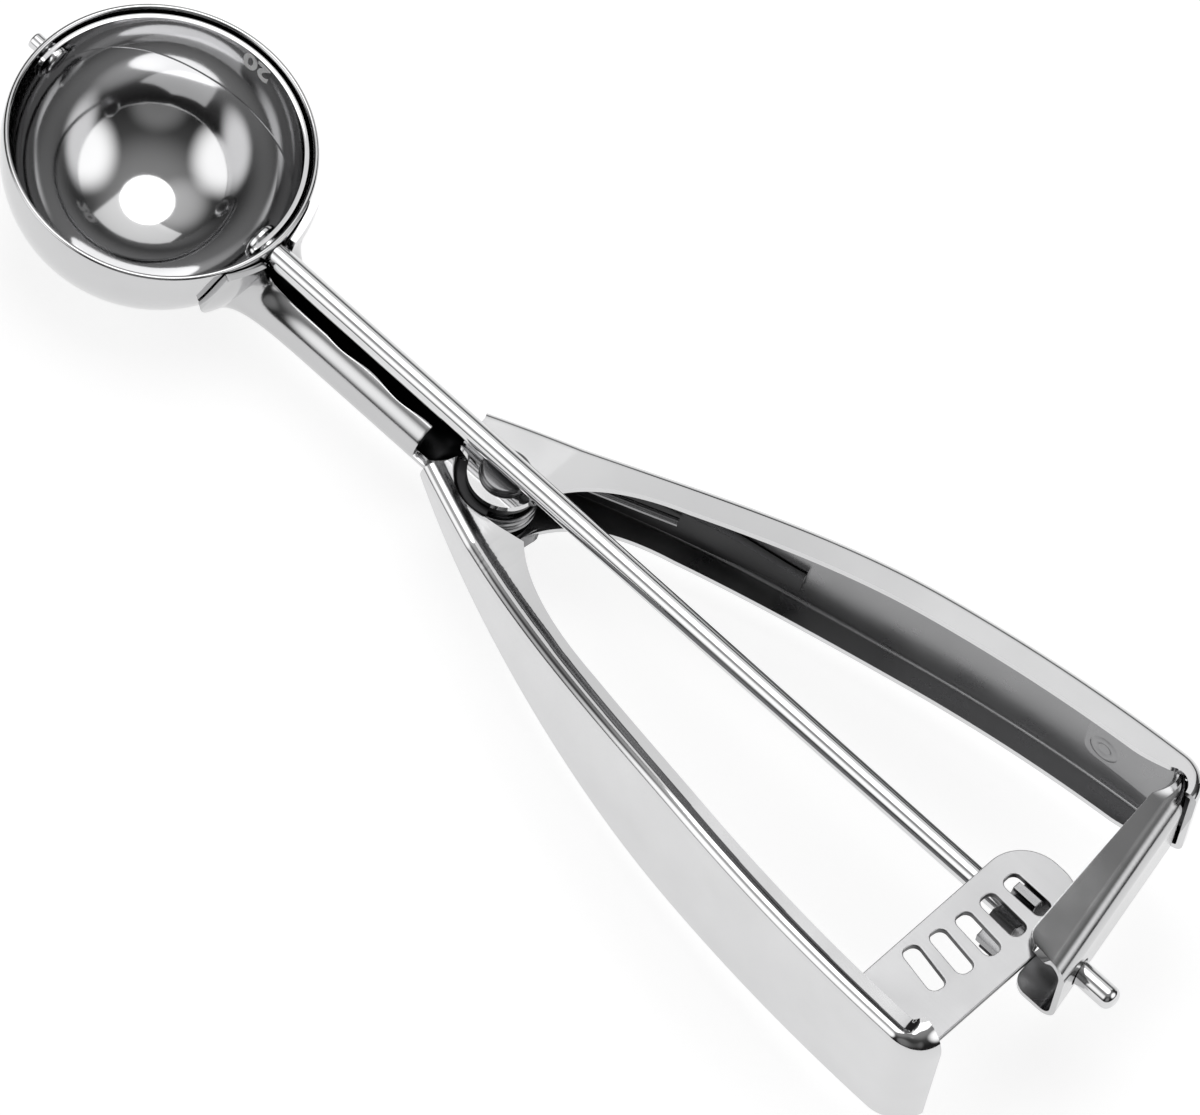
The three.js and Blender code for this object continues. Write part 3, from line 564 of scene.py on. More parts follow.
def flat_mesh(outlines: Sequence[Sequence[Pair]], thickness: float, edge: float) -> Mesh:
    """Fill a flat outline and its holes, with rounded edges.

    Args:
        outlines: The outer outline and those of the holes.
        thickness: The plate's thickness.
        edge: Rounding of its edges.

    Returns:
        The plate's mesh, its middle at zero.
    """
    curve = bpy.data.curves.new("outline", "CURVE")
    curve.dimensions = "2D"
    curve.fill_mode = "BOTH"
    curve.extrude = thickness / 2 - edge
    curve.bevel_depth = edge
    curve.bevel_resolution = 3
    curve.offset = -edge
    for outline in outlines:
        spline = curve.splines.new("POLY")
        spline.points.add(len(outline) - 1)
        for point, (x, y) in zip(spline.points, outline):
            point.co = (x, y, 0, 1)
        spline.use_cyclic_u = True
    return curve_mesh(curve)


def curve_mesh(curve: Curve) -> Mesh:
    """Make a curve or text a mesh and drop the curve.

    Args:
        curve: Curve or text data.

    Returns:
        The new mesh.
    """
    holder = bpy.data.objects.new("curve", curve)
    bpy.context.scene.collection.objects.link(holder)
    graph = bpy.context.evaluated_depsgraph_get()
    made = bpy.data.meshes.new_from_object(holder.evaluated_get(graph))
    bpy.data.objects.remove(holder)
    bpy.data.curves.remove(curve)
    return made


def fit(piece: Object, node: str, body: str) -> Object:
    """Let a piece stand for a node of the frame and move with a body.

    Args:
        piece: The finished piece.
        node: Node that it stands for.
        body: Body that it rides on.

    Returns:
        The same piece.
    """
    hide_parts(node)
    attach(piece, body)
    LOG.info("%s: %d faces, rides on %s", piece.name, len(piece.data.polygons), body)
    return piece


@dataclass
class Bowl:
    """The spun bowl, and what sweeps it: blade, toe pin and size figures."""

    radius: float = 20.5
    wall: float = 0.8
    rim: float = 2.4
    sides: int = 160
    steps: int = 44
    blade_gap: float = 0.4
    blade_wall: float = 0.6
    blade_rise: float = 1.9
    blade_drop: float = 7.7
    tab_radius: float = 3.3
    tab_tip: float = 0.8
    swell: float = 28.0
    blade_edge: float = 0.12
    pin_radius: float = 1.15
    pin_proud: float = 1.8
    pin_head: Pair = (1.9, 0.7)
    pin_round: float = 0.35
    head_round: float = 0.4
    rod_bore: float = 1.95
    pin_bore: float = 1.45
    seat_gap: float = 0.2
    figures: str = "20"
    figure_height: float = 3.1
    figure_share: float = 0.7
    figure_bold: float = 0.14
    figure_relief: float = 0.05
    figure_drop: float = 0.15

    ALONG = Bands(14, 170, 14)
    ACROSS = 26

    @property
    def inner(self) -> float:
        """Radius of the bowl's hollow."""
        return self.radius - self.wall

    @property
    def blade_outer(self) -> float:
        """Radius of the blade's outer side."""
        return self.inner - self.blade_gap

    @property
    def blade_inner(self) -> float:
        """Radius of the blade's hollow side."""
        return self.blade_outer - self.blade_wall

    def build(self) -> None:
        """Make the bowl and the pieces in it."""
        fit(self.shell(), "bowl", "frame")
        fit(self.blade(), "scraper_blade", "sweep")
        fit(self.pin(), "toe_pin", "sweep")
        marks = self.size_figures()
        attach(marks, "sweep")
        LOG.info("%s: plain figures on the blade", marks.name)

    def shell(self) -> Object:
        """Spin the bowl with its rounded rim and bore it for the rod and the pin.

        Returns:
            The bowl.
        """
        half = self.wall / 2
        outside = [(z, r) for r, z in arc((0, 0), self.radius, -math.pi / 2, 0, self.steps)]
        lip = [(z, r) for r, z in arc((self.radius - half, self.rim - half), half, 0, math.pi, 10)]
        inside = [(z, r) for r, z in arc((0, 0), self.inner, 0, -math.pi / 2, self.steps)]
        blank = Blank()
        blank.turned([*outside, *lip, *inside], Axis.UPRIGHT, self.sides)
        for face in blank.bm.faces:
            face.material_index = int(face.normal.dot(face.calc_center_median()) < 0)
        made = blank.piece("spun_bowl", [BOWL_MIRROR, BOWL_INSIDE])
        bore(made, self.rod_bore, self.blade_inner, self.radius + self.wall)
        bore(made, self.pin_bore, -self.radius - self.wall, -self.blade_inner)
        return made

    def edges_at(self, from_end: float) -> Pair:
        """Give the blade's edges at a distance along it from the nearer end's axis.

        Args:
            from_end: The distance, negative past the axis.

        Returns:
            Heights of the lower and the upper edge.
        """
        if from_end < 0:
            rounding = math.sqrt(max(self.tab_radius**2 - from_end**2, self.tab_tip**2))
            return -rounding, min(rounding, self.blade_rise)
        swell = smooth(from_end, 0, self.swell)
        return -between(self.tab_radius, self.blade_drop, swell), self.blade_rise

    def on_sphere(self, radius: float, along: float, height: float) -> Vector:
        """Place a point of the blade.

        Args:
            radius: Radius of its side.
            along: Angle from the toe round the far side of the bowl.
            height: Height on the blade's outer side.

        Returns:
            The point.
        """
        level = math.asin(height / self.blade_outer)
        flat = radius * math.cos(level)
        return Vector((-flat * math.cos(along), flat * math.sin(along), radius * math.sin(level)))

    def blade(self) -> Object:
        """Bend the strip that sweeps the bowl.

        Returns:
            The blade.
        """
        tip = math.sqrt(self.tab_radius**2 - self.tab_tip**2) / self.blade_outer

        def place(u: float, v: float) -> Vector:
            """Place a point of the blade's outer side."""
            number, share = self.ALONG.find(u)
            ends = ((-tip, 0.0), (0.0, math.pi), (math.pi, math.pi + tip))[number]
            if number == 0:
                share = math.sin(share * math.pi / 2)
            elif number == 2:
                share = 1 - math.cos(share * math.pi / 2)
            along = between(*ends, share)
            low, high = self.edges_at(min(along, math.pi - along) * self.blade_outer)
            return self.on_sphere(self.blade_outer, along, between(low, high, v))

        blank = Blank()
        blank.surface(self.ALONG.total, self.ACROSS, place)
        blank.face((0, 1, 0))
        return blank.piece("bowl_scraper", [BOWL_INSIDE], wall=self.blade_wall, edge=self.blade_edge)

    def pin(self) -> Object:
        """Turn the pin that the blade swings on at the toe.

        Returns:
            The pin.
        """
        head_radius, head_height = self.pin_head
        seat = -math.sqrt(self.blade_inner**2 - head_radius**2) + self.seat_gap
        toe = -(self.radius + self.pin_proud)
        front = seat + head_height
        tip_centre = toe + self.pin_round, self.pin_radius - self.pin_round
        tip = arc(tip_centre, self.pin_round, math.pi, math.pi / 2, 6)
        dome_centre = front - self.head_round, head_radius - self.head_round
        dome = arc(dome_centre, self.head_round, math.pi / 2, 0, 6)
        profile = [(toe, 0), *tip, (seat, self.pin_radius), (seat, head_radius), *dome, (front, 0)]
        blank = Blank()
        blank.turned(profile, Axis.ROD, ROUND)
        return blank.piece("toe_stud", [MIRROR], crease=TURNED_CREASE)

    def size_figures(self) -> Object:
        """Set plain figures on the blade's hollow side.

        Returns:
            The figures, bent to the blade.
        """
        text = bpy.data.curves.new("figures", "FONT")
        text.body = self.figures
        text.size = self.figure_height / self.figure_share
        text.align_x = "CENTER"
        text.align_y = "CENTER"
        text.extrude = self.figure_relief
        text.offset = self.figure_bold
        text.resolution_u = 6
        mesh = curve_mesh(text)
        for vert in mesh.vertices:
            across, up, out = vert.co
            along = math.pi / 2 - across / self.blade_inner
            height = -self.figure_drop - up
            vert.co = self.on_sphere(self.blade_inner - out, along, height)
        blank = Blank()
        blank.add_mesh(mesh, Matrix.Identity(4))
        blank.close()
        return blank.piece("size_figures", [FIGURE], crease=TURNED_CREASE)


@dataclass
class Drive:
    """The rod, the pinion on it and the slotted rack that turns it."""

    blade_inner: float = 18.7
    seat_gap: float = 0.2
    rod_radius: float = 1.65
    rod_head: Pair = (2.6, 0.8)
    head_round: float = 0.45
    rod_end: float = 168.7
    tip_round: float = 1.2
    pivot_x: float = 62.0
    teeth: int = 8
    pitch: float = 4.46
    tooth_tip: float = 0.62
    tooth_root: float = 1.5
    tip_half: float = 0.6
    root_half: float = 1.05
    pinion_x: float = 152.0
    pinion_width: float = 4.0
    rack_wall: float = 1.0
    slots: int = 5
    slot_size: Pair = (7.0, 2.66)
    slot_round: float = 1.1
    rack_x: Pair = (145.4, 158.6)
    rack_tip_y: float = 6.2
    rack_round: float = 6.0
    shoulder_y: float = -25.2
    tail_x: Pair = (147.0, 154.0)
    tab_bottom: float = -1.5
    edge: float = 0.16
    shear_tilt: float = 0.4

    TAIL_GRID = (24, 12)

    @property
    def pitch_radius(self) -> float:
        """Radius of the pinion's pitch circle."""
        return self.teeth * self.pitch / TURN

    def build(self, web: "WebLine", tail_offset: float) -> None:
        """Make the three pieces.

        Args:
            web: Web line of the handle that carries the rack.
            tail_offset: From that web's outer face to the rack's tail.
        """
        fit(self.rod(), "drive_rod", "sweep")
        fit(self.pinion(), "pinion", "sweep")
        fit(self.rack(web, tail_offset), "rack_plate", "trigger")
        tail = self.rack_tail(web, tail_offset)
        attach(tail, "trigger")
        LOG.info("%s: inside the trigger", tail.name)

    def rod(self) -> Object:
        """Turn the rod with its head in the bowl and its rounded end.

        Returns:
            The rod.
        """
        head_radius, head_height = self.rod_head
        seat = math.sqrt(self.blade_inner**2 - head_radius**2) - self.seat_gap
        front = seat - head_height
        dome_centre = front + self.head_round, head_radius - self.head_round
        dome = arc(dome_centre, self.head_round, math.pi, math.pi / 2, 8)
        tip_x = self.rod_end - self.tip_round
        shaft = [(x, self.rod_radius) for x in spread(seat, tip_x, 30)]
        tip = arc((tip_x, self.rod_radius - self.tip_round), self.tip_round, math.pi / 2, 0, 10)
        profile = [(front, 0), *dome, (seat, head_radius), *shaft, *tip[1:], (self.rod_end, 0)]
        blank = Blank()
        blank.turned(profile, Axis.ROD, FINE_ROUND)
        return blank.piece("scraper_rod", [MIRROR], crease=TURNED_CREASE)

    def pinion(self) -> Object:
        """Cut the pinion's teeth and bore.

        Returns:
            The pinion.
        """
        outline = []
        for tooth in range(self.teeth):
            angle = TURN * tooth / self.teeth
            root, tip = self.pitch_radius - self.tooth_root, self.pitch_radius + self.tooth_tip
            turn = Matrix.Rotation(angle, 2)
            corners = [(-self.root_half, root), (-self.tip_half, tip)]
            corners += [(-side, height) for side, height in reversed(corners)]
            outline += [tuple(turn @ Vector((-side, height))) for side, height in corners]
        hole = arc((0, 0), self.rod_radius + self.seat_gap, 0, TURN * (ROUND - 1) / ROUND, ROUND - 1)
        mesh = flat_mesh([outline, hole], self.pinion_width, self.edge)
        lay = Matrix(((0, 0, 1, self.pinion_x), (1, 0, 0, 0), (0, 1, 0, 0), (0, 0, 0, 1)))
        blank = Blank()
        blank.add_mesh(mesh, lay)
        blank.close()
        return blank.piece("rod_pinion", [WIRE], crease=PLATE_CREASE)

    def slot(self, number: int) -> list[Pair]:
        """Outline a slot of the rack.

        Args:
            number: Pitches from the slot over the rod.

        Returns:
            The slot's outline.
        """
        half_length = self.slot_size[0] / 2 - self.slot_round
        half_width = self.slot_size[1] / 2 - self.slot_round
        reach = self.pinion_x - self.pivot_x
        turn = Matrix.Rotation(-number * self.pitch / reach, 2)
        points = []
        for quarter, (sx, sy) in enumerate(((1, 1), (-1, 1), (-1, -1), (1, -1))):
            start = quarter * math.pi / 2
            corner = (reach + sx * half_length, sy * half_width)
            points += arc(corner, self.slot_round, start, start + math.pi / 2, 8)
        return [(self.pivot_x + p.x, p.y) for p in (turn @ Vector(point) for point in points)]

    def rack(self, web: "WebLine", tail_offset: float) -> Object:
        """Blank the slotted plate, whose tail reaches into the handle.

        Args:
            web: Web line of the handle that carries it.
            tail_offset: From that web's outer face to the tail.

        Returns:
            The rack.
        """
        front, rear = self.rack_x
        tail_front, tail_rear = self.tail_x
        tail = [web.inside(x, tail_offset) for x in spread(tail_front, tail_rear, 12)]
        round_y = self.rack_tip_y - self.rack_round
        outline = [(front, self.shoulder_y), (tail_front, self.shoulder_y)]
        outline += [(p.x, -p.y) for p in tail]
        outline += [(tail_rear, self.shoulder_y), (rear, self.shoulder_y)]
        outline += arc((rear - self.rack_round, round_y), self.rack_round, 0, math.pi / 2, 20)
        outline += arc((front + self.rack_round, round_y), self.rack_round, math.pi / 2, math.pi, 20)
        holes = [self.slot(number) for number in range(self.slots)]
        mesh = flat_mesh([outline, *holes], self.rack_wall, self.edge)
        blank = Blank()
        blank.add_mesh(mesh, Matrix.Translation((0, 0, self.pitch_radius)))
        blank.close()
        for face in blank.bm.faces:
            face.material_index = int(abs(face.normal.z) < self.shear_tilt)
        return blank.piece("slotted_rack", [SATIN, SHEARED], crease=PLATE_CREASE)

    def rack_tail(self, web: "WebLine", tail_offset: float) -> Object:
        """Bend the rack's tail down along the inside of the handle's web.

        Args:
            web: Web line of the handle that carries it.
            tail_offset: From that web's outer face to the tail.

        Returns:
            The tail.
        """
        top = self.pitch_radius + self.rack_wall / 2 - self.edge

        def place(u: float, v: float) -> Vector:
            """Place a point of the tail's outer side."""
            plan = web.inside(between(*self.tail_x, u), tail_offset)
            return Vector((plan.x, -plan.y, between(top, self.tab_bottom, v)))

        blank = Blank()
        blank.surface(*self.TAIL_GRID, place)
        blank.face((0, -1, 0))
        return blank.piece("rack_tail", [SATIN], wall=self.rack_wall, edge=self.edge)


@dataclass(frozen=True)
class WebLine:
    """Plan line of a handle's outer web: one long arc, then a tight turn inwards at the rear."""

    at_pivot: float
    arc_radius: float
    corner_x: float
    pivot_x: float = 62.0
    half_width: float = 29.59
    corner_radius: float = 5.5
    corner_turn: float = math.radians(82)

    @property
    def heading(self) -> float:
        """Heading beside the pivot, from the chord to the rear corner."""
        chord = Vector((self.corner_x - self.pivot_x, self.half_width - self.at_pivot))
        return math.atan2(chord.y, chord.x) + math.asin(chord.length / (2 * self.arc_radius))

    def heading_at(self, x: float) -> float:
        """Give the heading of the long arc at a place along the rod."""
        return math.asin(math.sin(self.heading) - (x - self.pivot_x) / self.arc_radius)

    @staticmethod
    def inward(heading: float) -> Vector:
        """Give the way into the channel for a heading."""
        return Vector((math.sin(heading), -math.cos(heading)))

    def at(self, x: float) -> tuple[Vector, Vector]:
        """Give the point of the long arc at a place along the rod, and the way into the channel."""
        heading = self.heading_at(x)
        y = self.at_pivot + self.arc_radius * (math.cos(heading) - math.cos(self.heading))
        return Vector((x, y)), self.inward(heading)

    def inside(self, x: float, depth: float) -> Vector:
        """Give the point at a depth inside the web's outer face."""
        point, inward = self.at(x)
        return point + inward * depth

    @property
    def corner_length(self) -> float:
        """Length of the rear corner."""
        return self.corner_radius * self.corner_turn

    def corner(self, share: float) -> tuple[Vector, Vector]:
        """Give a point of the rear corner and the way into the channel.

        Args:
            share: Share of the turn that is passed.

        Returns:
            The point and the direction.
        """
        start, inward = self.at(self.corner_x)
        centre = start + inward * self.corner_radius
        turned = self.inward(self.heading_at(self.corner_x) - share * self.corner_turn)
        return centre - turned * self.corner_radius, turned


@dataclass
class Channel:
    """A handle pressed as a channel, with a web and two flanges."""

    name: str
    web: WebLine
    cheek_end: float
    lip: Callable[[float], Vector]
    side: int
    cheek_columns: int
    edge_radius: float
    rear_edge: float
    corner_flange: float
    front_x: float = 54.0
    flange: float = 4.3
    cheek_top: float = -2.9
    cheek_bottom: float = -13.9
    cheek_end_x: float = 66.0
    cheek_rise: float = 0.1
    front_lift: float = 0.0
    lift_length: float = 18.0
    lower_edge: float = 0.9
    rear_lift: float = 0.0
    narrow: float = 6.0
    rise_end_x: float = 157.8
    lip_row: float = 0.34
    lip_share: float = 0.6
    row_bias: float = 1.6
    turn_share: float = 0.6
    grip_x: float = 115.0
    grip_top: float = 5.6
    grip_bottom: float = -13.9
    grip_slope: float = 0.0814
    recess: Callable[[float, float], float] = lambda x, depth: 0.0

    ACROSS = Bands(44, 12, 22, 9, 14)
    GRIP_COLUMNS = 90
    CORNER_COLUMNS = 26

    @property
    def along(self) -> Bands:
        """Columns of the cheek, the grip and the rear corner."""
        return Bands(self.cheek_columns, self.GRIP_COLUMNS, self.CORNER_COLUMNS)

    def height(self, x: float, cheek: float, rise: float, grip: float) -> float:
        """Give the height of a flange: level, then one cubic curve, then a straight slope.

        Args:
            x: Place along the rod.
            cheek: Height beside the pivot.
            rise: Slope where the level stretch ends.
            grip: Height where the slope starts.

        Returns:
            The height.
        """
        if x <= self.cheek_end_x:
            return cheek
        if x >= self.grip_x:
            return grip + self.grip_slope * (min(x, self.rise_end_x) - self.grip_x)
        span = self.grip_x - self.cheek_end_x
        t = (x - self.cheek_end_x) / span
        level = cheek + (grip - cheek) * t * t * (3 - 2 * t)
        return level + span * t * (1 - t) * (rise * (1 - t) - self.grip_slope * t)

    def top(self, x: float) -> float:
        """Give the height of the upper flange."""
        return self.height(x, self.cheek_top, self.cheek_rise, self.grip_top)

    def bottom(self, x: float) -> float:
        """Give the height of the lower flange."""
        return self.height(x, self.cheek_bottom, 0.0, self.grip_bottom)

    def web_bottom(self, x: float) -> float:
        """Give the height of the web's lower edge, which lifts towards the front."""
        return self.bottom(x) + self.front_lift * math.exp((self.front_x - x) / self.lift_length)

    def depth(self, plan: Vector) -> float:
        """Give a plan point's distance inside the web's outer face."""
        point, inward = self.web.at(plan.x)
        return (plan - point).dot(inward)

    def station(self, u: float) -> tuple[Vector, Vector, Vector]:
        """Find a station along the handle.

        Args:
            u: Share of the columns from front to rear.

        Returns:
            The web's point, the way into the channel and the lip's point.
        """
        number, share = self.along.find(u)
        if number == 0:
            point, inward = self.web.at(between(self.front_x, self.cheek_end, share))
            return point, inward, self.lip(share)
        if number == 1:
            x = between(self.cheek_end, self.web.corner_x, share)
            point, inward = self.web.at(x)
            past = x - self.web.corner_x
        else:
            point, inward = self.web.corner(share)
            past = share * self.web.corner_length
        narrowed = smooth(past, -self.narrow, self.web.corner_length)
        return point, inward, point + inward * between(self.flange, self.corner_flange, narrowed)

    def place(self, u: float, v: float) -> Vector:
        """Place a point of the outer skin.

        Args:
            u: Share of the columns along the handle.
            v: Share of the columns from the upper lip round to the lower one.

        Returns:
            The point.
        """
        point, inward, lip = self.station(u)
        number, share = self.ACROSS.find(v)
        upper = number < 2
        stretch, passed = self.along.find(u)
        turned = smooth(passed, 0, self.turn_share) if stretch == 2 else 0.0
        roll = between(self.edge_radius, self.rear_edge, turned)
        lift = self.rear_lift * turned
        low = self.web_bottom(point.x) + lift
        if number == 2:
            z = between(self.top(point.x) - roll, low + self.lower_edge, share)
            return Vector((point.x, self.side * point.y, z))
        share = share if upper else 1 - share
        radius = roll if upper else self.lower_edge
        bend = point + inward * radius
        if number in (0, 4):
            first = min(self.lip_share, self.lip_row / (bend - lip).length) if share > 0 else 0.0
            plan = lip.lerp(bend, 1 - (1 - first) * (1 - share) ** self.row_bias)
            drop = 0.0
            low = between(self.bottom(plan.x) + lift, low, smooth(share, 0, 1))
        else:
            angle = share * math.pi / 2
            plan = bend - inward * (radius * math.sin(angle))
            drop = radius * (1 - math.cos(angle))
        if upper:
            depth = (plan - point).length if stretch == 2 else self.depth(plan)
            z = self.top(plan.x) - drop - self.recess(plan.x, depth) * (1 - turned)
        else:
            z = low + drop
        return Vector((plan.x, self.side * plan.y, z))

    def blank(self) -> Blank:
        """Lay the channel's outer skin.

        Returns:
            The skin, its faces outwards.
        """
        made = Blank()
        made.surface(self.along.total, self.ACROSS.total, self.place)
        made.face((0, self.side, 0))
        return made


@dataclass
class Handles:
    """The fixed handle, the trigger, and the rivet and spring between them."""

    fixed_web: WebLine = WebLine(8.94, 250.0, 152.5)
    trigger_web: WebLine = WebLine(10.33, 310.0, 154.5)
    pivot_x: float = 62.0
    sheet: float = 0.9
    seat_gap: float = 0.2
    running_gap: float = 0.3
    flange: float = 4.3
    lobe_radius: float = 5.0
    lobe_start: float = math.radians(200)
    cheek_front: Pair = (55.2, -1.2)
    arch_bend: Pair = (69.5, 8.5)
    arch_end_x: float = 81.0
    cut_radius: float = 6.6
    cut_start: float = math.radians(200)
    cut_end: float = math.radians(290)
    cusp: Pair = (70.3, -5.4)
    trigger_bend: Pair = (76.0, -11.5)
    trigger_arch_end_x: float = 90.0
    lip_columns: int = 8
    ear_gap: float = 0.3
    ear_radius: float = 4.8
    ear_step: float = 0.4
    sheet_edge: float = 0.2
    fixed_edge: float = 1.3
    fixed_lower_edge: float = 1.4
    fixed_corner_flange: float = 1.8
    fixed_rear_lift: float = 5.5
    trigger_edge: float = 1.5
    trigger_rear_edge: float = 3.6
    trigger_lift: float = 8.0
    step_tilt: float = 0.16
    panel_end_x: float = 84.0
    panel_drop: float = 0.85
    panel_blend: float = 1.5
    panel_step: Pair = (1.6, 3.3)
    lip_front: Pair = (1.5, 3.2)
    lip_rear: Pair = (1.5, 2.6)
    rivet_radius: float = 2.2
    rivet_head: Pair = (3.5, 0.8)
    rivet_rim: float = 0.1
    cheek_top: float = -2.9
    cheek_bottom: float = -13.9
    wire_radius: float = 0.6
    coil_radius: float = 4.6
    coil_turns: int = 2
    coil_pitch: float = 1.75
    coil_top: float = -6.3
    leg_x: float = 80.0
    shank_wall: float = 1.0

    FIXED_LIP = Bands(1, 6, 6)
    TRIGGER_LIP = Bands(5, 1, 6)
    EAR = Bands(12, 8)
    EAR_RING = (96, 8)
    # The ears take the near-black painted shade of the gap under the fixed handle's lobe
    EAR_SHADE_FINISH = 2
    # The step beside the crown takes a dark painted shade
    STEP_SHADE_FINISH = 3

    @property
    def tail_offset(self) -> float:
        """From a web's outer face to what lies on its inside."""
        return self.sheet + self.seat_gap

    def build(self) -> None:
        """Make the four pieces."""
        fit(self.fixed(), "fixed_handle", "frame")
        fit(self.trigger(), "trigger_handle", "trigger")
        fit(self.rivet(), "pivot_rivet", "frame")
        spring = self.spring()
        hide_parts("torsion_spring")
        swing = [ROW @ Vector((self.pivot_x, y, 0)) for y in (self.coil_radius, -self.coil_radius)]
        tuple(swing[0])
        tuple(swing[1])
        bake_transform(spring)
        LOG.info("%s: %d faces, bends between frame and trigger", spring.name, len(spring.data.polygons))

    def about_pivot(self, angle: float, radius: float) -> Vector:
        """Give the plan point at an angle and distance from the pivot."""
        return Vector((self.pivot_x + radius * math.cos(angle), radius * math.sin(angle)))

    def fixed_lip(self, share: float) -> Vector:
        """Give the lip of the fixed handle's cheek: front, lobe round the rivet, then the arch.

        Args:
            share: Share of the cheek that is passed.

        Returns:
            The plan point.
        """
        number, passed = self.FIXED_LIP.find(share)
        if number == 0:
            return Vector(self.cheek_front).lerp(self.about_pivot(self.lobe_start, self.lobe_radius), passed)
        if number == 1:
            return self.about_pivot(between(self.lobe_start, TURN, passed), self.lobe_radius)
        start = self.about_pivot(0, self.lobe_radius)
        end = self.fixed_web.inside(self.arch_end_x, self.flange)
        return bezier(start, Vector(self.arch_bend), end, passed)

    def trigger_lip(self, share: float) -> Vector:
        """Give the lip of the trigger's cheek, mirrored: the cut round the lobe, then the arch.

        Args:
            share: Share of the cheek that is passed.

        Returns:
            The plan point.
        """
        number, passed = self.TRIGGER_LIP.find(share)
        if number == 0:
            point = self.about_pivot(between(self.cut_start, self.cut_end, passed), self.cut_radius)
            return Vector((point.x, -point.y))
        cusp, bend = (Vector((x, -y)) for x, y in (self.cusp, self.trigger_bend))
        if number == 1:
            start = self.about_pivot(self.cut_end, self.cut_radius)
            return Vector((start.x, -start.y)).lerp(cusp, passed)
        end = self.trigger_web.inside(self.trigger_arch_end_x, self.flange)
        return bezier(cusp, bend, end, passed)

    def panel(self, x: float, depth: float) -> float:
        """Give how far the trigger's upper flange lies below its crown.

        Args:
            x: Place along the rod.
            depth: Distance from the web's outer face.

        Returns:
            The drop: a pressed panel beside the pivot, and a lip along the grip that widens to the rear.
        """
        pressed = self.panel_drop * smooth(depth, *self.panel_step)
        passed = (x - self.panel_end_x) / (self.trigger_web.corner_x - self.panel_end_x)
        step = [between(front, rear, passed) for front, rear in zip(self.lip_front, self.lip_rear)]
        lip = self.panel_drop * smooth(depth, *step)
        ends = self.panel_end_x - self.panel_blend, self.panel_end_x + self.panel_blend
        return between(pressed, lip, smooth(x, *ends))

    def fixed(self) -> Object:
        """Press the fixed handle and bore it for the rivet.

        Returns:
            The handle.
        """
        form = Channel(
            "fixed_grip",
            self.fixed_web,
            self.arch_end_x,
            self.fixed_lip,
            side=1,
            cheek_columns=self.FIXED_LIP.total * self.lip_columns,
            edge_radius=self.fixed_edge,
            rear_edge=self.fixed_edge,
            corner_flange=self.fixed_corner_flange,
            lower_edge=self.fixed_lower_edge,
            rear_lift=self.fixed_rear_lift,
        )
        made = form.blank().piece(form.name, [MIRROR, INSIDE_STAMPED_AND_SHADE], wall=self.sheet, edge=self.sheet_edge)
        hole = self.rivet_radius + self.seat_gap / 2
        low, high = self.cheek_bottom - self.sheet, self.cheek_top + self.sheet
        bore(made, hole, low, high, Axis.UPRIGHT, self.pivot_x)
        made.data.set_sharp_from_angle(angle=math.radians(SHEET_CREASE))
        return made

    def trigger(self) -> Object:
        """Press the trigger with the ears that step in to the rivet.

        Returns:
            The trigger.
        """
        form = Channel(
            "squeeze_grip",
            self.trigger_web,
            self.trigger_arch_end_x,
            self.trigger_lip,
            side=-1,
            cheek_columns=self.TRIGGER_LIP.total * self.lip_columns,
            edge_radius=self.trigger_edge,
            rear_edge=self.trigger_rear_edge,
            corner_flange=self.flange,
            front_lift=self.trigger_lift,
            recess=self.panel,
        )
        blank = form.blank()
        self.paint_step_shade(blank, form)
        level = self.sheet + self.ear_gap
        self.add_ear(blank, form, 0.0, self.cheek_top - level)
        self.add_ear(blank, form, 1.0, self.cheek_bottom + level)
        blank.face((0, form.side, 0))
        # The last two finishes are painted shade: the near-black of the ears' gap and the dark of the step
        finishes = [TRIGGER_MIRROR, INSIDE_STAMPED_AND_SHADE, HOLLOW_PAINTED_SHADE, STEP_PAINTED_SHADE]
        return blank.piece(form.name, finishes, wall=self.sheet, crease=TURNED_CREASE)

    def paint_step_shade(self, blank: Blank, form: Channel) -> None:
        """Paint shade on the step beside the trigger's crown by giving its tilted upper faces a dark finish.

        Args:
            blank: The trigger's skin.
            form: The trigger's form.
        """
        for face in blank.bm.faces:
            inward = form.web.at(min(face.calc_center_median().x, form.web.corner_x))[1]
            tilt = face.normal.x * inward.x + face.normal.y * form.side * inward.y
            if face.normal.z > 0 and tilt > self.step_tilt:
                face.material_index = self.STEP_SHADE_FINISH

    def add_ear(self, blank: Blank, form: Channel, lip: float, level: float) -> None:
        """Carry a flange of the trigger on as a ring round the rivet.

        Args:
            blank: The trigger's skin, which the ear is joined to.
            form: The trigger's form.
            lip: Which lip it starts from, 0 for the upper one and 1 for the lower one.
            level: Height of the ear's outer side.
        """
        columns = self.TRIGGER_LIP.columns[0] * self.lip_columns
        hole = self.rivet_radius + self.running_gap

        def sector(u: float, v: float) -> Vector:
            """Place a point of the step and of the ear inside it."""
            share = u if lip == 0 else 1 - u
            edge = form.place(share * columns / form.along.total, lip)
            number, passed = self.EAR.find(v)
            ends = ((self.cut_radius, self.ear_radius), (self.ear_radius, hole))[number]
            radius = between(*ends, passed)
            plan = self.about_pivot(between(self.cut_start, self.cut_end, share), radius)
            drop = smooth(self.cut_radius - radius, 0.0, self.ear_step)
            return Vector((plan.x, plan.y, between(edge.z, level, drop)))

        def ring(u: float, v: float) -> Vector:
            """Place a point of the rest of the ring."""
            share = u if lip == 0 else 1 - u
            angle = between(self.cut_end, self.cut_start + TURN, share)
            plan = self.about_pivot(angle, between(self.ear_radius, hole, v))
            return Vector((plan.x, plan.y, level))

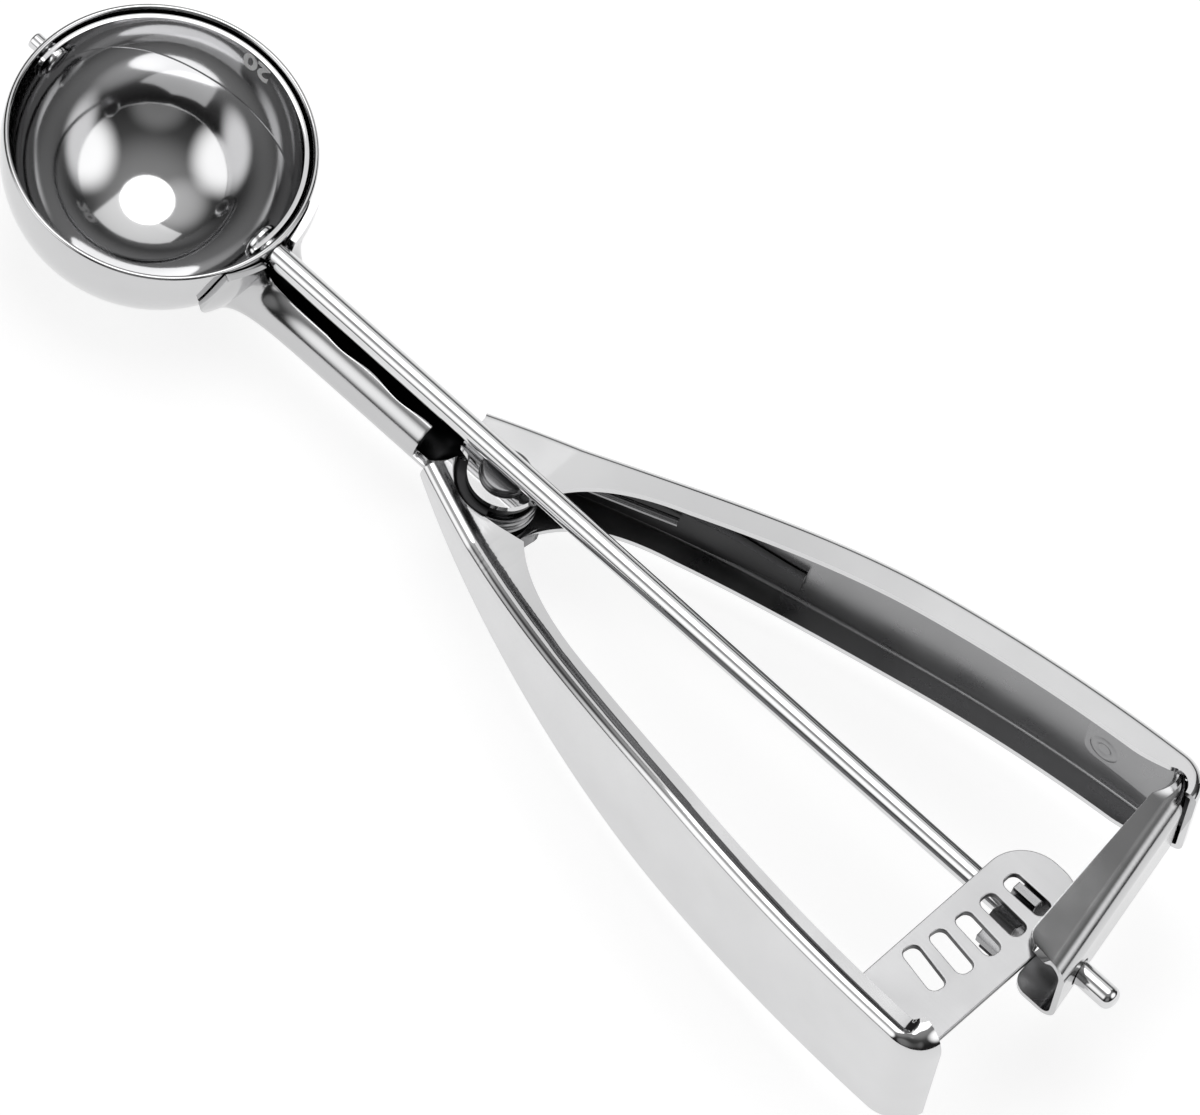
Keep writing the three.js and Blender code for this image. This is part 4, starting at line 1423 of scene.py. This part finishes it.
        # The ear's faces get painted shade: the near-black of the gap under the lobe
        blank.surface(columns, self.EAR.total, sector, finish=self.EAR_SHADE_FINISH)
        blank.surface(*self.EAR_RING, ring, finish=self.EAR_SHADE_FINISH)

    def rivet(self) -> Object:
        """Turn the rivet with its two domed heads.

        Returns:
            The rivet.
        """
        head_radius, head_height = self.rivet_head
        top = self.cheek_top + self.seat_gap / 2
        bottom = self.cheek_bottom - self.seat_gap / 2
        rounding = head_height - self.rivet_rim

        def dome(base: float, sign: int) -> list[Pair]:
            """Round one head's rim."""
            centre = (head_radius - rounding, base + sign * (head_height - rounding))
            return [(z, r) for r, z in arc(centre, rounding, 0, sign * math.pi / 2, 8)]

        profile = [
            (bottom - head_height, 0),
            *reversed(dome(bottom, -1)),
            (bottom, head_radius),
            (bottom, self.rivet_radius),
            (top, self.rivet_radius),
            (top, head_radius),
            *dome(top, 1),
            (top + head_height, 0),
        ]
        blank = Blank()
        blank.turned(profile, Axis.UPRIGHT, FINE_ROUND, self.pivot_x)
        return blank.piece("hinge_rivet", [RIVET], crease=TURNED_CREASE)

    def coil_touch(self, tip: Vector, side: int) -> float:
        """Find where a leg leaves the coil.

        Args:
            tip: Plan point of the leg's end.
            side: Which way round the leg leaves.

        Returns:
            The angle about the pivot.
        """
        reach = tip - Vector((self.pivot_x, 0))
        return math.atan2(reach.y, reach.x) + side * math.acos(self.coil_radius / reach.length)

    def spring(self) -> Object:
        """Wind the torsion spring with a leg on each handle's web.

        Returns:
            The spring.
        """
        clear = self.running_gap + self.wire_radius
        fixed_tip = self.fixed_web.inside(self.leg_x, self.tail_offset + self.shank_wall + clear)
        trigger_tip = self.trigger_web.inside(self.leg_x, self.sheet + clear)
        trigger_tip.y = -trigger_tip.y
        start = self.coil_touch(fixed_tip, 1)
        end = self.coil_touch(trigger_tip, -1) % TURN + TURN * self.coil_turns
        drop = (end - start) / TURN * self.coil_pitch
        steps = round((end - start) / TURN * ROUND)
        route = [(fixed_tip.x, fixed_tip.y, self.coil_top)]
        for share in spread(0, 1, steps):
            plan = self.about_pivot(between(start, end, share), self.coil_radius)
            route.append((plan.x, plan.y, self.coil_top - drop * share))
        route.append((trigger_tip.x, trigger_tip.y, self.coil_top - drop))
        curve = bpy.data.curves.new("wire", "CURVE")
        curve.dimensions = "3D"
        curve.bevel_depth = self.wire_radius
        curve.bevel_resolution = 5
        curve.use_fill_caps = True
        spline = curve.splines.new("POLY")
        spline.points.add(len(route) - 1)
        for point, place in zip(spline.points, route):
            point.co = (*place, 1)
        blank = Blank()
        blank.add_mesh(curve_mesh(curve), Matrix.Identity(4))
        blank.close()
        return blank.piece("return_spring", [WIRE], crease=ROUND_CREASE)


@dataclass
class Shank:
    """The pressed shank: saddle on the bowl, rolled neck and the tail inside the fixed handle."""

    bowl_radius: float = 20.5
    seat_gap: float = 0.2
    wall: float = 1.0
    saddle_top: float = 2.2
    saddle_notch: float = 0.9
    saddle_bottom: float = -12.1
    top_half: float = 8.5
    wing: Pair = (10.6, -5.0)
    wing_bend: Pair = (10.4, -1.2)
    wing_foot: Pair = (8.0, -11.4)
    rod_half: float = 2.7
    neck_x: Pair = (32.0, 50.4)
    neck_radius: float = 4.0
    neck_z: float = -8.4
    seam_half: float = 1.3
    seam_wave: float = 0.22
    seam_beat: float = 0.62
    seam_reach: Pair = (0.3, 0.5)
    edge: float = 0.14
    tail_end_x: float = 97.0
    taper_x: float = 84.0
    tail_half: float = 3.0
    tail_end_half: float = 1.6
    tail_join_x: float = 57.5
    tail_straight: float = 1.8
    flare_curve: float = 2.4

    ALONG = Bands(50, 70)
    AROUND = 96
    OUTLINE = Bands(14, 20, 14)
    TAIL_COLUMNS = (22, 74)
    TAIL_LENGTH = 90

    @property
    def outer(self) -> float:
        """Radius of the saddle's outer side."""
        return self.bowl_radius + self.seat_gap + self.wall

    def build(self, web: WebLine, offset: float) -> None:
        """Make the shank.

        Args:
            web: Web line of the fixed handle, which the tail follows.
            offset: From that web's outer face to the tail.
        """
        blank = Blank()
        blank.surface(self.ALONG.total, self.AROUND, self.place)
        self.add_tail(blank, web, offset)
        blank.face((0, 0, -1))
        # The shank's inner wall takes the near-black painted shade of the neck's hollow
        made = blank.piece("bowl_shank", [ROLLED, HOLLOW_PAINTED_SHADE], wall=self.wall, edge=self.edge)
        fit(made, "shank", "frame")

    def ring(self, x: float, v: float) -> Vector:
        """Place a point of the rolled neck.

        Args:
            x: Place along the rod.
            v: Share of the way round, from one side of the seam to the other.

        Returns:
            The point.
        """
        near = smooth(abs(v - 0.5), *self.seam_reach)
        seam = self.seam_half + self.seam_wave * near * math.sin((x - self.neck_x[0]) * self.seam_beat)
        gap = math.asin(seam / self.neck_radius)
        angle = between(gap, TURN - gap, v)
        side, up = self.neck_radius * math.sin(angle), self.neck_radius * math.cos(angle)
        return Vector((x, side, self.neck_z + up))

    def outline(self, v: float) -> Vector:
        """Place a point of the saddle's outline on the bowl.

        Args:
            v: Share of the way round, from one side of the rod to the other.

        Returns:
            The point.
        """
        side = 1 if v <= 0.5 else -1
        number, share = self.OUTLINE.find(min(v, 1 - v) * 2)
        tip, wing = Vector((self.top_half, self.saddle_top)), Vector(self.wing)
        if number == 0:
            y, z = Vector((self.rod_half, self.saddle_notch)).lerp(tip, share)
        elif number == 1:
            y, z = bezier(tip, Vector(self.wing_bend), wing, share)
        else:
            y, z = bezier(wing, Vector(self.wing_foot), Vector((0, self.saddle_bottom)), share)
        depth = min(z, 0.0)
        return Vector((math.sqrt(self.outer**2 - y * y - depth * depth), side * y, z))

    def place(self, u: float, v: float) -> Vector:
        """Place a point of the neck or the flare.

        Args:
            u: Share of the columns from the neck's open end to the bowl.
            v: Share of the way round.

        Returns:
            The point.
        """
        start, end = self.neck_x
        number, share = self.ALONG.find(u)
        if number == 0:
            return self.ring(between(end, start, share), v)
        root, goal = self.ring(start, v), self.outline(v)
        opened = root.lerp(goal, share**self.flare_curve)
        x = between(goal.x, root.x, (1 - share) ** self.flare_curve)
        depth = min(opened.z, 0.0)
        clear = math.sqrt(max(self.outer**2 - opened.y**2 - depth**2, 0.0))
        return Vector((max(x, clear), opened.y, opened.z))

    def add_tail(self, blank: Blank, web: WebLine, offset: float) -> None:
        """Carry one side of the neck on as a strip along the fixed handle's web.

        Args:
            blank: The neck's skin, which the strip is joined to.
            web: Web line that it follows.
            offset: From the web's outer face to the strip.
        """
        first, last = self.TAIL_COLUMNS
        neck_end = self.neck_x[1]

        def place(u: float, v: float) -> Vector:
            """Place a point of the strip."""
            rim = self.ring(neck_end, between(first, last, v) / self.AROUND)
            x = between(neck_end, self.tail_end_x, u)
            half = between(self.tail_half, self.tail_end_half, smooth(x, self.taper_x, self.tail_end_x))
            plan = web.inside(x, offset)
            strip = Vector((plan.x, plan.y, self.neck_z + between(half, -half, v)))
            rim.x = min(x, strip.x)
            return rim.lerp(strip, smooth(x, neck_end + self.tail_straight, self.tail_join_x))

        blank.surface(self.TAIL_LENGTH, last - first, place)


@dataclass
class Bracket:
    """The C-shaped bracket that carries the rod's rear end, with a foot inside the fixed handle."""

    wall: float = 0.8
    rear_x: float = 162.5
    lean: float = 0.22
    depth: float = 7.3
    root_depth: float = 4.4
    bottom: float = -5.0
    round: float = 2.6
    root_round: float = 0.3
    crown: float = 0.5
    end_y: float = -5.5
    corner: float = 2.2
    bend: float = 7.0
    foot_front_x: float = 139.0
    foot_corner: float = 2.0
    foot_taper: float = 6.0
    foot_top: float = 4.6
    foot_bottom: float = -4.6
    weld: Pair = (142.0, -1.5)
    weld_radius: float = 1.6
    weld_half: float = 0.35
    weld_height: float = 0.22
    rod_bore: float = 1.95
    rod_end: float = 168.7
    edge: float = 0.16
    turn_share: float = 0.7

    ALONG = Bands(16, 60, 30)
    ACROSS = Bands(16, 12, 54, 12, 16)
    FOOT_COLUMNS = 96
    TRIES = 12

    def build(self, top: float, web: WebLine, offset: float) -> None:
        """Make the bracket.

        Args:
            top: Height of its upper side, before its crown.
            web: Web line of the fixed handle, which its foot lies on.
            offset: From that web's outer face to the foot.
        """
        foot_x = self.foot_start(web, offset)
        centre = web.inside(foot_x, offset + self.bend)
        end = math.pi / 2 + web.heading_at(foot_x)
        shoulder = top - self.root_round
        top += self.crown
        blank = Blank()
        blank.surface(self.ALONG.total, self.ACROSS.total, lambda u, v: self.section(u, v, top, centre, end))
        blank.surface(
            self.FOOT_COLUMNS,
            self.ACROSS.columns[2],
            lambda u, v: self.foot(foot_x, shoulder, u, v, web, offset),
        )
        blank.face((1, 0, 0))
        # The foot's visible side is its inner wall, so it takes the darkened painted shade of the inside
        # finish
        made = blank.piece("rod_bracket", [BRACKET, INSIDE_STAMPED_AND_SHADE], wall=self.wall, edge=self.edge)
        bore(made, self.rod_bore, self.rear_x - self.depth, self.rod_end)
        fit(made, "rear_bracket", "frame")

    def foot_start(self, web: WebLine, offset: float) -> float:
        """Find where the bend from the rear wall meets the fixed handle's web.

        Args:
            web: Web line of the fixed handle.
            offset: From that web's outer face to the foot.

        Returns:
            The place along the rod.
        """
        reach = self.bend * math.hypot(1, self.lean)
        x = self.rear_x
        for _ in range(self.TRIES):
            centre = web.inside(x, offset + self.bend)
            x += self.rear_x - self.lean * centre.y - reach - centre.x
        return x

    def section(self, u: float, v: float, top: float, centre: Vector, end: float) -> Vector:
        """Place a point of the C.

        Args:
            u: Share of the columns from the free end to the foot.
            v: Share of the columns from the upper lip round to the lower one.
            top: Height of the upper side.
            centre: Plan point that the bend into the foot turns about.
            end: Angle that the bend ends at.

        Returns:
            The point.
        """
        lean = math.atan(self.lean)
        bend_y = centre.y + self.bend * math.sin(lean)
        number, share = self.ALONG.find(u)
        cut, rounding = 0.0, self.round
        if number == 2:
            taper = smooth(share, 0, self.turn_share)
            angle, rounding = between(lean, end, share), between(self.round, self.root_round, taper)
            depth = between(self.root_depth, 2 * self.root_round, taper)
            out = Vector((math.cos(angle), math.sin(angle)))
            point = centre + out * self.bend
        else:
            if number == 0:
                turn = share * math.pi / 2
                y = self.end_y + self.corner * (1 - math.cos(turn))
                cut = self.corner * (1 - math.sin(turn))
            else:
                y = between(self.end_y + self.corner, bend_y, share)
            passed = (y - self.end_y) / (bend_y - self.end_y)
            angle, depth = lean * passed, between(self.depth, self.root_depth, passed)
            out = Vector((math.cos(angle), math.sin(angle)))
            point = Vector((self.rear_x - self.lean * y, y))
        inward, z = self.profile(v, depth - cut, top, rounding)
        plan = point - out * inward
        return Vector((plan.x, plan.y, z))

    def profile(self, v: float, depth: float, top: float, rounding: float) -> Pair:
        """Give a point of the C's section.

        Args:
            v: Share of the columns from the upper lip round to the lower one.
            depth: Depth of the flanges.
            top: Height of the upper lip, from which the upper side falls to the rear.
            rounding: Radius of the bends.

        Returns:
            The distance inside the rear face, and the height.
        """
        number, share = self.ACROSS.find(v)
        angle = share * math.pi / 2
        bent = rounding * (1 - math.sin(angle)), rounding * (1 - math.cos(angle))
        shoulder = top - self.crown
        if number == 0:
            return between(depth, rounding, share), between(top, shoulder, share)
        if number == 1:
            return bent[0], shoulder - bent[1]
        if number == 2:
            return 0.0, between(shoulder - rounding, self.bottom + rounding, share)
        if number == 3:
            return bent[1], self.bottom + bent[0]
        return between(rounding, depth, share), self.bottom

    def foot(self, start: float, shoulder: float, u: float, v: float, web: WebLine, offset: float) -> Vector:
        """Place a point of the foot, which narrows from the bend and has rounded front corners.

        Args:
            start: Where it starts along the rod.
            shoulder: Height of its upper edge there.
            u: Share of the way to its front end.
            v: Share of the way down.
            web: Web line that it lies on.
            offset: From the web's outer face to the foot.

        Returns:
            The point.
        """
        x = between(start, self.foot_front_x, u)
        near = max(self.foot_corner - (x - self.foot_front_x), 0.0)
        cut = self.foot_corner - math.sqrt(self.foot_corner**2 - near**2)
        grown = smooth(x, start - self.foot_taper, start)
        high = between(self.foot_top - cut, shoulder, grown)
        low = between(self.foot_bottom + cut, self.bottom + self.root_round, grown)
        z = between(high, low, v)
        weld_x, weld_z = self.weld
        from_ring = (math.hypot(x - weld_x, z - weld_z) - self.weld_radius) / self.weld_half
        plan = web.inside(x, offset + self.weld_height * math.exp(-from_ring * from_ring))
        return Vector((plan.x, plan.y, z))


@dataclass(frozen=True)
class Softbox:
    """A lamp, by its place and what it faces, in metres."""

    name: str
    place: Triple
    target: Triple
    width: float
    height: float
    radiance: float
    round: bool = False

    def hang(self) -> None:
        """Hang the lamp, facing its target."""
        lamp = bpy.data.lights.new(self.name, "AREA")
        lamp.shape = "ELLIPSE" if self.round else "RECTANGLE"
        lamp.size, lamp.size_y = self.width, self.height
        area = self.width * self.height * (math.pi / 4 if self.round else 1.0)
        lamp.energy = self.radiance * area * math.pi
        holder = bpy.data.objects.new(self.name, lamp)
        holder.location = self.place
        holder.rotation_mode = "QUATERNION"
        holder.rotation_quaternion = (Vector(self.place) - Vector(self.target)).to_track_quat("Z", "Y")
        bpy.context.scene.collection.objects.link(holder)


@dataclass(frozen=True)
class Glow:
    """A soft light in the room, by its direction and the angles that it fades between."""

    direction: Triple
    strength: float
    core: float
    edge: float

    def add(self, tree: NodeTree, way: NodeSocket, light: NodeSocket) -> NodeSocket:
        """Add the glow to the room's light.

        Args:
            tree: The world's node tree.
            way: Direction that is looked in.
            light: The light so far.

        Returns:
            The light with the glow in it.
        """
        facing = tree.nodes.new("ShaderNodeVectorMath")
        facing.operation = "DOT_PRODUCT"
        facing.inputs[1].default_value = Vector(self.direction).normalized()
        tree.links.new(way, facing.inputs[0])
        limits = math.cos(math.radians(self.edge)), math.cos(math.radians(self.core))
        fade = ranged(tree, facing.outputs["Value"], limits, (0.0, self.strength))
        return combined(tree, "ADD", light, fade)


@dataclass
class Studio:
    """White floor, dim room with soft glows, lamps and the camera."""

    azimuth: float = math.radians(28.3)
    elevation: float = math.radians(59.2)
    roll: float = math.radians(16.9)
    target: Triple = (1.9, 6.6, 5.1)
    frame_width: float = 153.73
    distance: float = 6.8
    clip: Pair = (0.5, 100.0)
    room: Pair = (0.02, 0.10)
    room_rise: Pair = (0.25, 0.95)
    floor_half: float = 8.0
    floor_tone: float = 0.42
    floor_glow: float = 0.76
    softboxes: Sequence[Softbox] = (
        Softbox("overhead", (-0.155, 0.100, 0.90), (0.0, 0.0, 0.02), 0.64, 0.64, 2.0, round=True),
        Softbox("ceiling", (-0.23, 0.38, 0.45), (-0.23, 0.38, 0.0), 0.50, 0.52, 0.78),
        Softbox("back", (-0.24, 0.90, 0.17), (-0.24, 0.0, 0.17), 1.20, 0.34, 0.60),
    )
    glows: Sequence[Glow] = (
        Glow((0.742, 0.337, 0.579), 1.5, 10.0, 31.0),
        Glow((-0.450, -0.750, 0.480), 1.5, 10.0, 31.0),
        Glow((0.571, -0.703, 0.390), 0.2, 8.0, 26.0),
        Glow((-0.430, -0.100, 0.900), 0.35, 5.0, 25.0),
        Glow((-0.050, 0.0, 1.0), 0.22, 6.0, 50.0),
    )

    def build(self) -> None:
        """Set the stage."""
        scene = bpy.context.scene
        scene.view_settings.view_transform = "Standard"
        self.light_room(scene)
        self.lay_floor()
        for softbox in self.softboxes:
            softbox.hang()
        self.set_camera(scene)

    def light_room(self, scene: Scene) -> None:
        """Give the room its dim light, which rises from the walls to the ceiling, and show it white.

        Args:
            scene: Scene to light.
        """
        world = bpy.data.worlds.new("room")
        world.use_nodes = True
        tree = world.node_tree
        background = tree.nodes["Background"]
        background.inputs["Color"].default_value = (1, 1, 1, 1)
        parts = tree.nodes.new("ShaderNodeSeparateXYZ")
        way = tree.nodes.new("ShaderNodeTexCoord").outputs["Generated"]
        tree.links.new(way, parts.inputs["Vector"])
        light = ranged(tree, parts.outputs["Z"], self.room_rise, self.room)
        for glow in self.glows:
            light = glow.add(tree, way, light)
        path = tree.nodes.new("ShaderNodeLightPath")
        seen = combined(tree, "MAXIMUM", light, path.outputs["Is Camera Ray"])
        tree.links.new(seen, background.inputs["Strength"])
        scene.world = world

    def lay_floor(self) -> None:
        """Lay the floor, which looks white and keeps the shadow."""
        blank = bmesh.new()
        bmesh.ops.create_grid(blank, x_segments=1, y_segments=1, size=self.floor_half)
        mesh = bpy.data.meshes.new("floor")
        blank.to_mesh(mesh)
        blank.free()
        material = bpy.data.materials.new("white_floor")
        material.use_nodes = True
        tree = material.node_tree
        shader = tree.nodes["Principled BSDF"]
        shader.inputs["Base Color"].default_value = (self.floor_tone, self.floor_tone, self.floor_tone, 1)
        shader.inputs["Roughness"].default_value = 1.0
        shader.inputs["Specular IOR Level"].default_value = 0.0
        shader.inputs["Emission Color"].default_value = (1, 1, 1, 1)
        path = tree.nodes.new("ShaderNodeLightPath")
        seen = path.outputs["Is Camera Ray"]
        for ray in ("Is Glossy Ray", "Is Transmission Ray"):
            seen = combined(tree, "MAXIMUM", seen, path.outputs[ray])
        glow = combined(tree, "MULTIPLY", seen, self.floor_glow)
        tree.links.new(glow, shader.inputs["Emission Strength"])
        mesh.materials.append(material)
        floor = bpy.data.objects.new("floor", mesh)
        bpy.context.scene.collection.objects.link(floor)

    def set_camera(self, scene: Scene) -> None:
        """Stand the camera at the photograph's viewing angle.

        Args:
            scene: Scene that it looks at.
        """
        a, e = self.azimuth, self.elevation
        back = Vector((math.sin(a) * math.cos(e), -math.cos(a) * math.cos(e), math.sin(e)))
        level = Vector((math.cos(a), math.sin(a), 0))
        right = level * math.cos(self.roll) + back.cross(level) * math.sin(self.roll)
        up = back.cross(right)
        lens = bpy.data.cameras.new("camera")
        lens.lens = lens.sensor_width * self.distance / (self.frame_width * MM)
        lens.clip_start, lens.clip_end = self.clip
        camera = bpy.data.objects.new("camera", lens)
        place = Vector(self.target) * MM + back * self.distance
        camera.matrix_world = Matrix.Translation(place) @ Matrix((right, up, back)).transposed().to_4x4()
        scene.collection.objects.link(camera)
        scene.camera = camera


def main() -> None:
    """Build the studio and every piece of the scoop."""
    logging.basicConfig(level=logging.INFO, format="%(name)s: %(message)s")
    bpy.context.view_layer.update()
    Studio().build()
    handles = Handles()
    drive = Drive()
    Bowl().build()
    handles.build()
    drive.build(handles.trigger_web, handles.tail_offset)
    Shank().build(handles.fixed_web, handles.tail_offset)
    rack_top = drive.pitch_radius + drive.rack_wall / 2
    bracket = Bracket()
    bracket.build(rack_top + handles.running_gap + bracket.wall, handles.fixed_web, handles.tail_offset)
    LOG.info("boxes written")


if __name__ == "__main__":
    main()
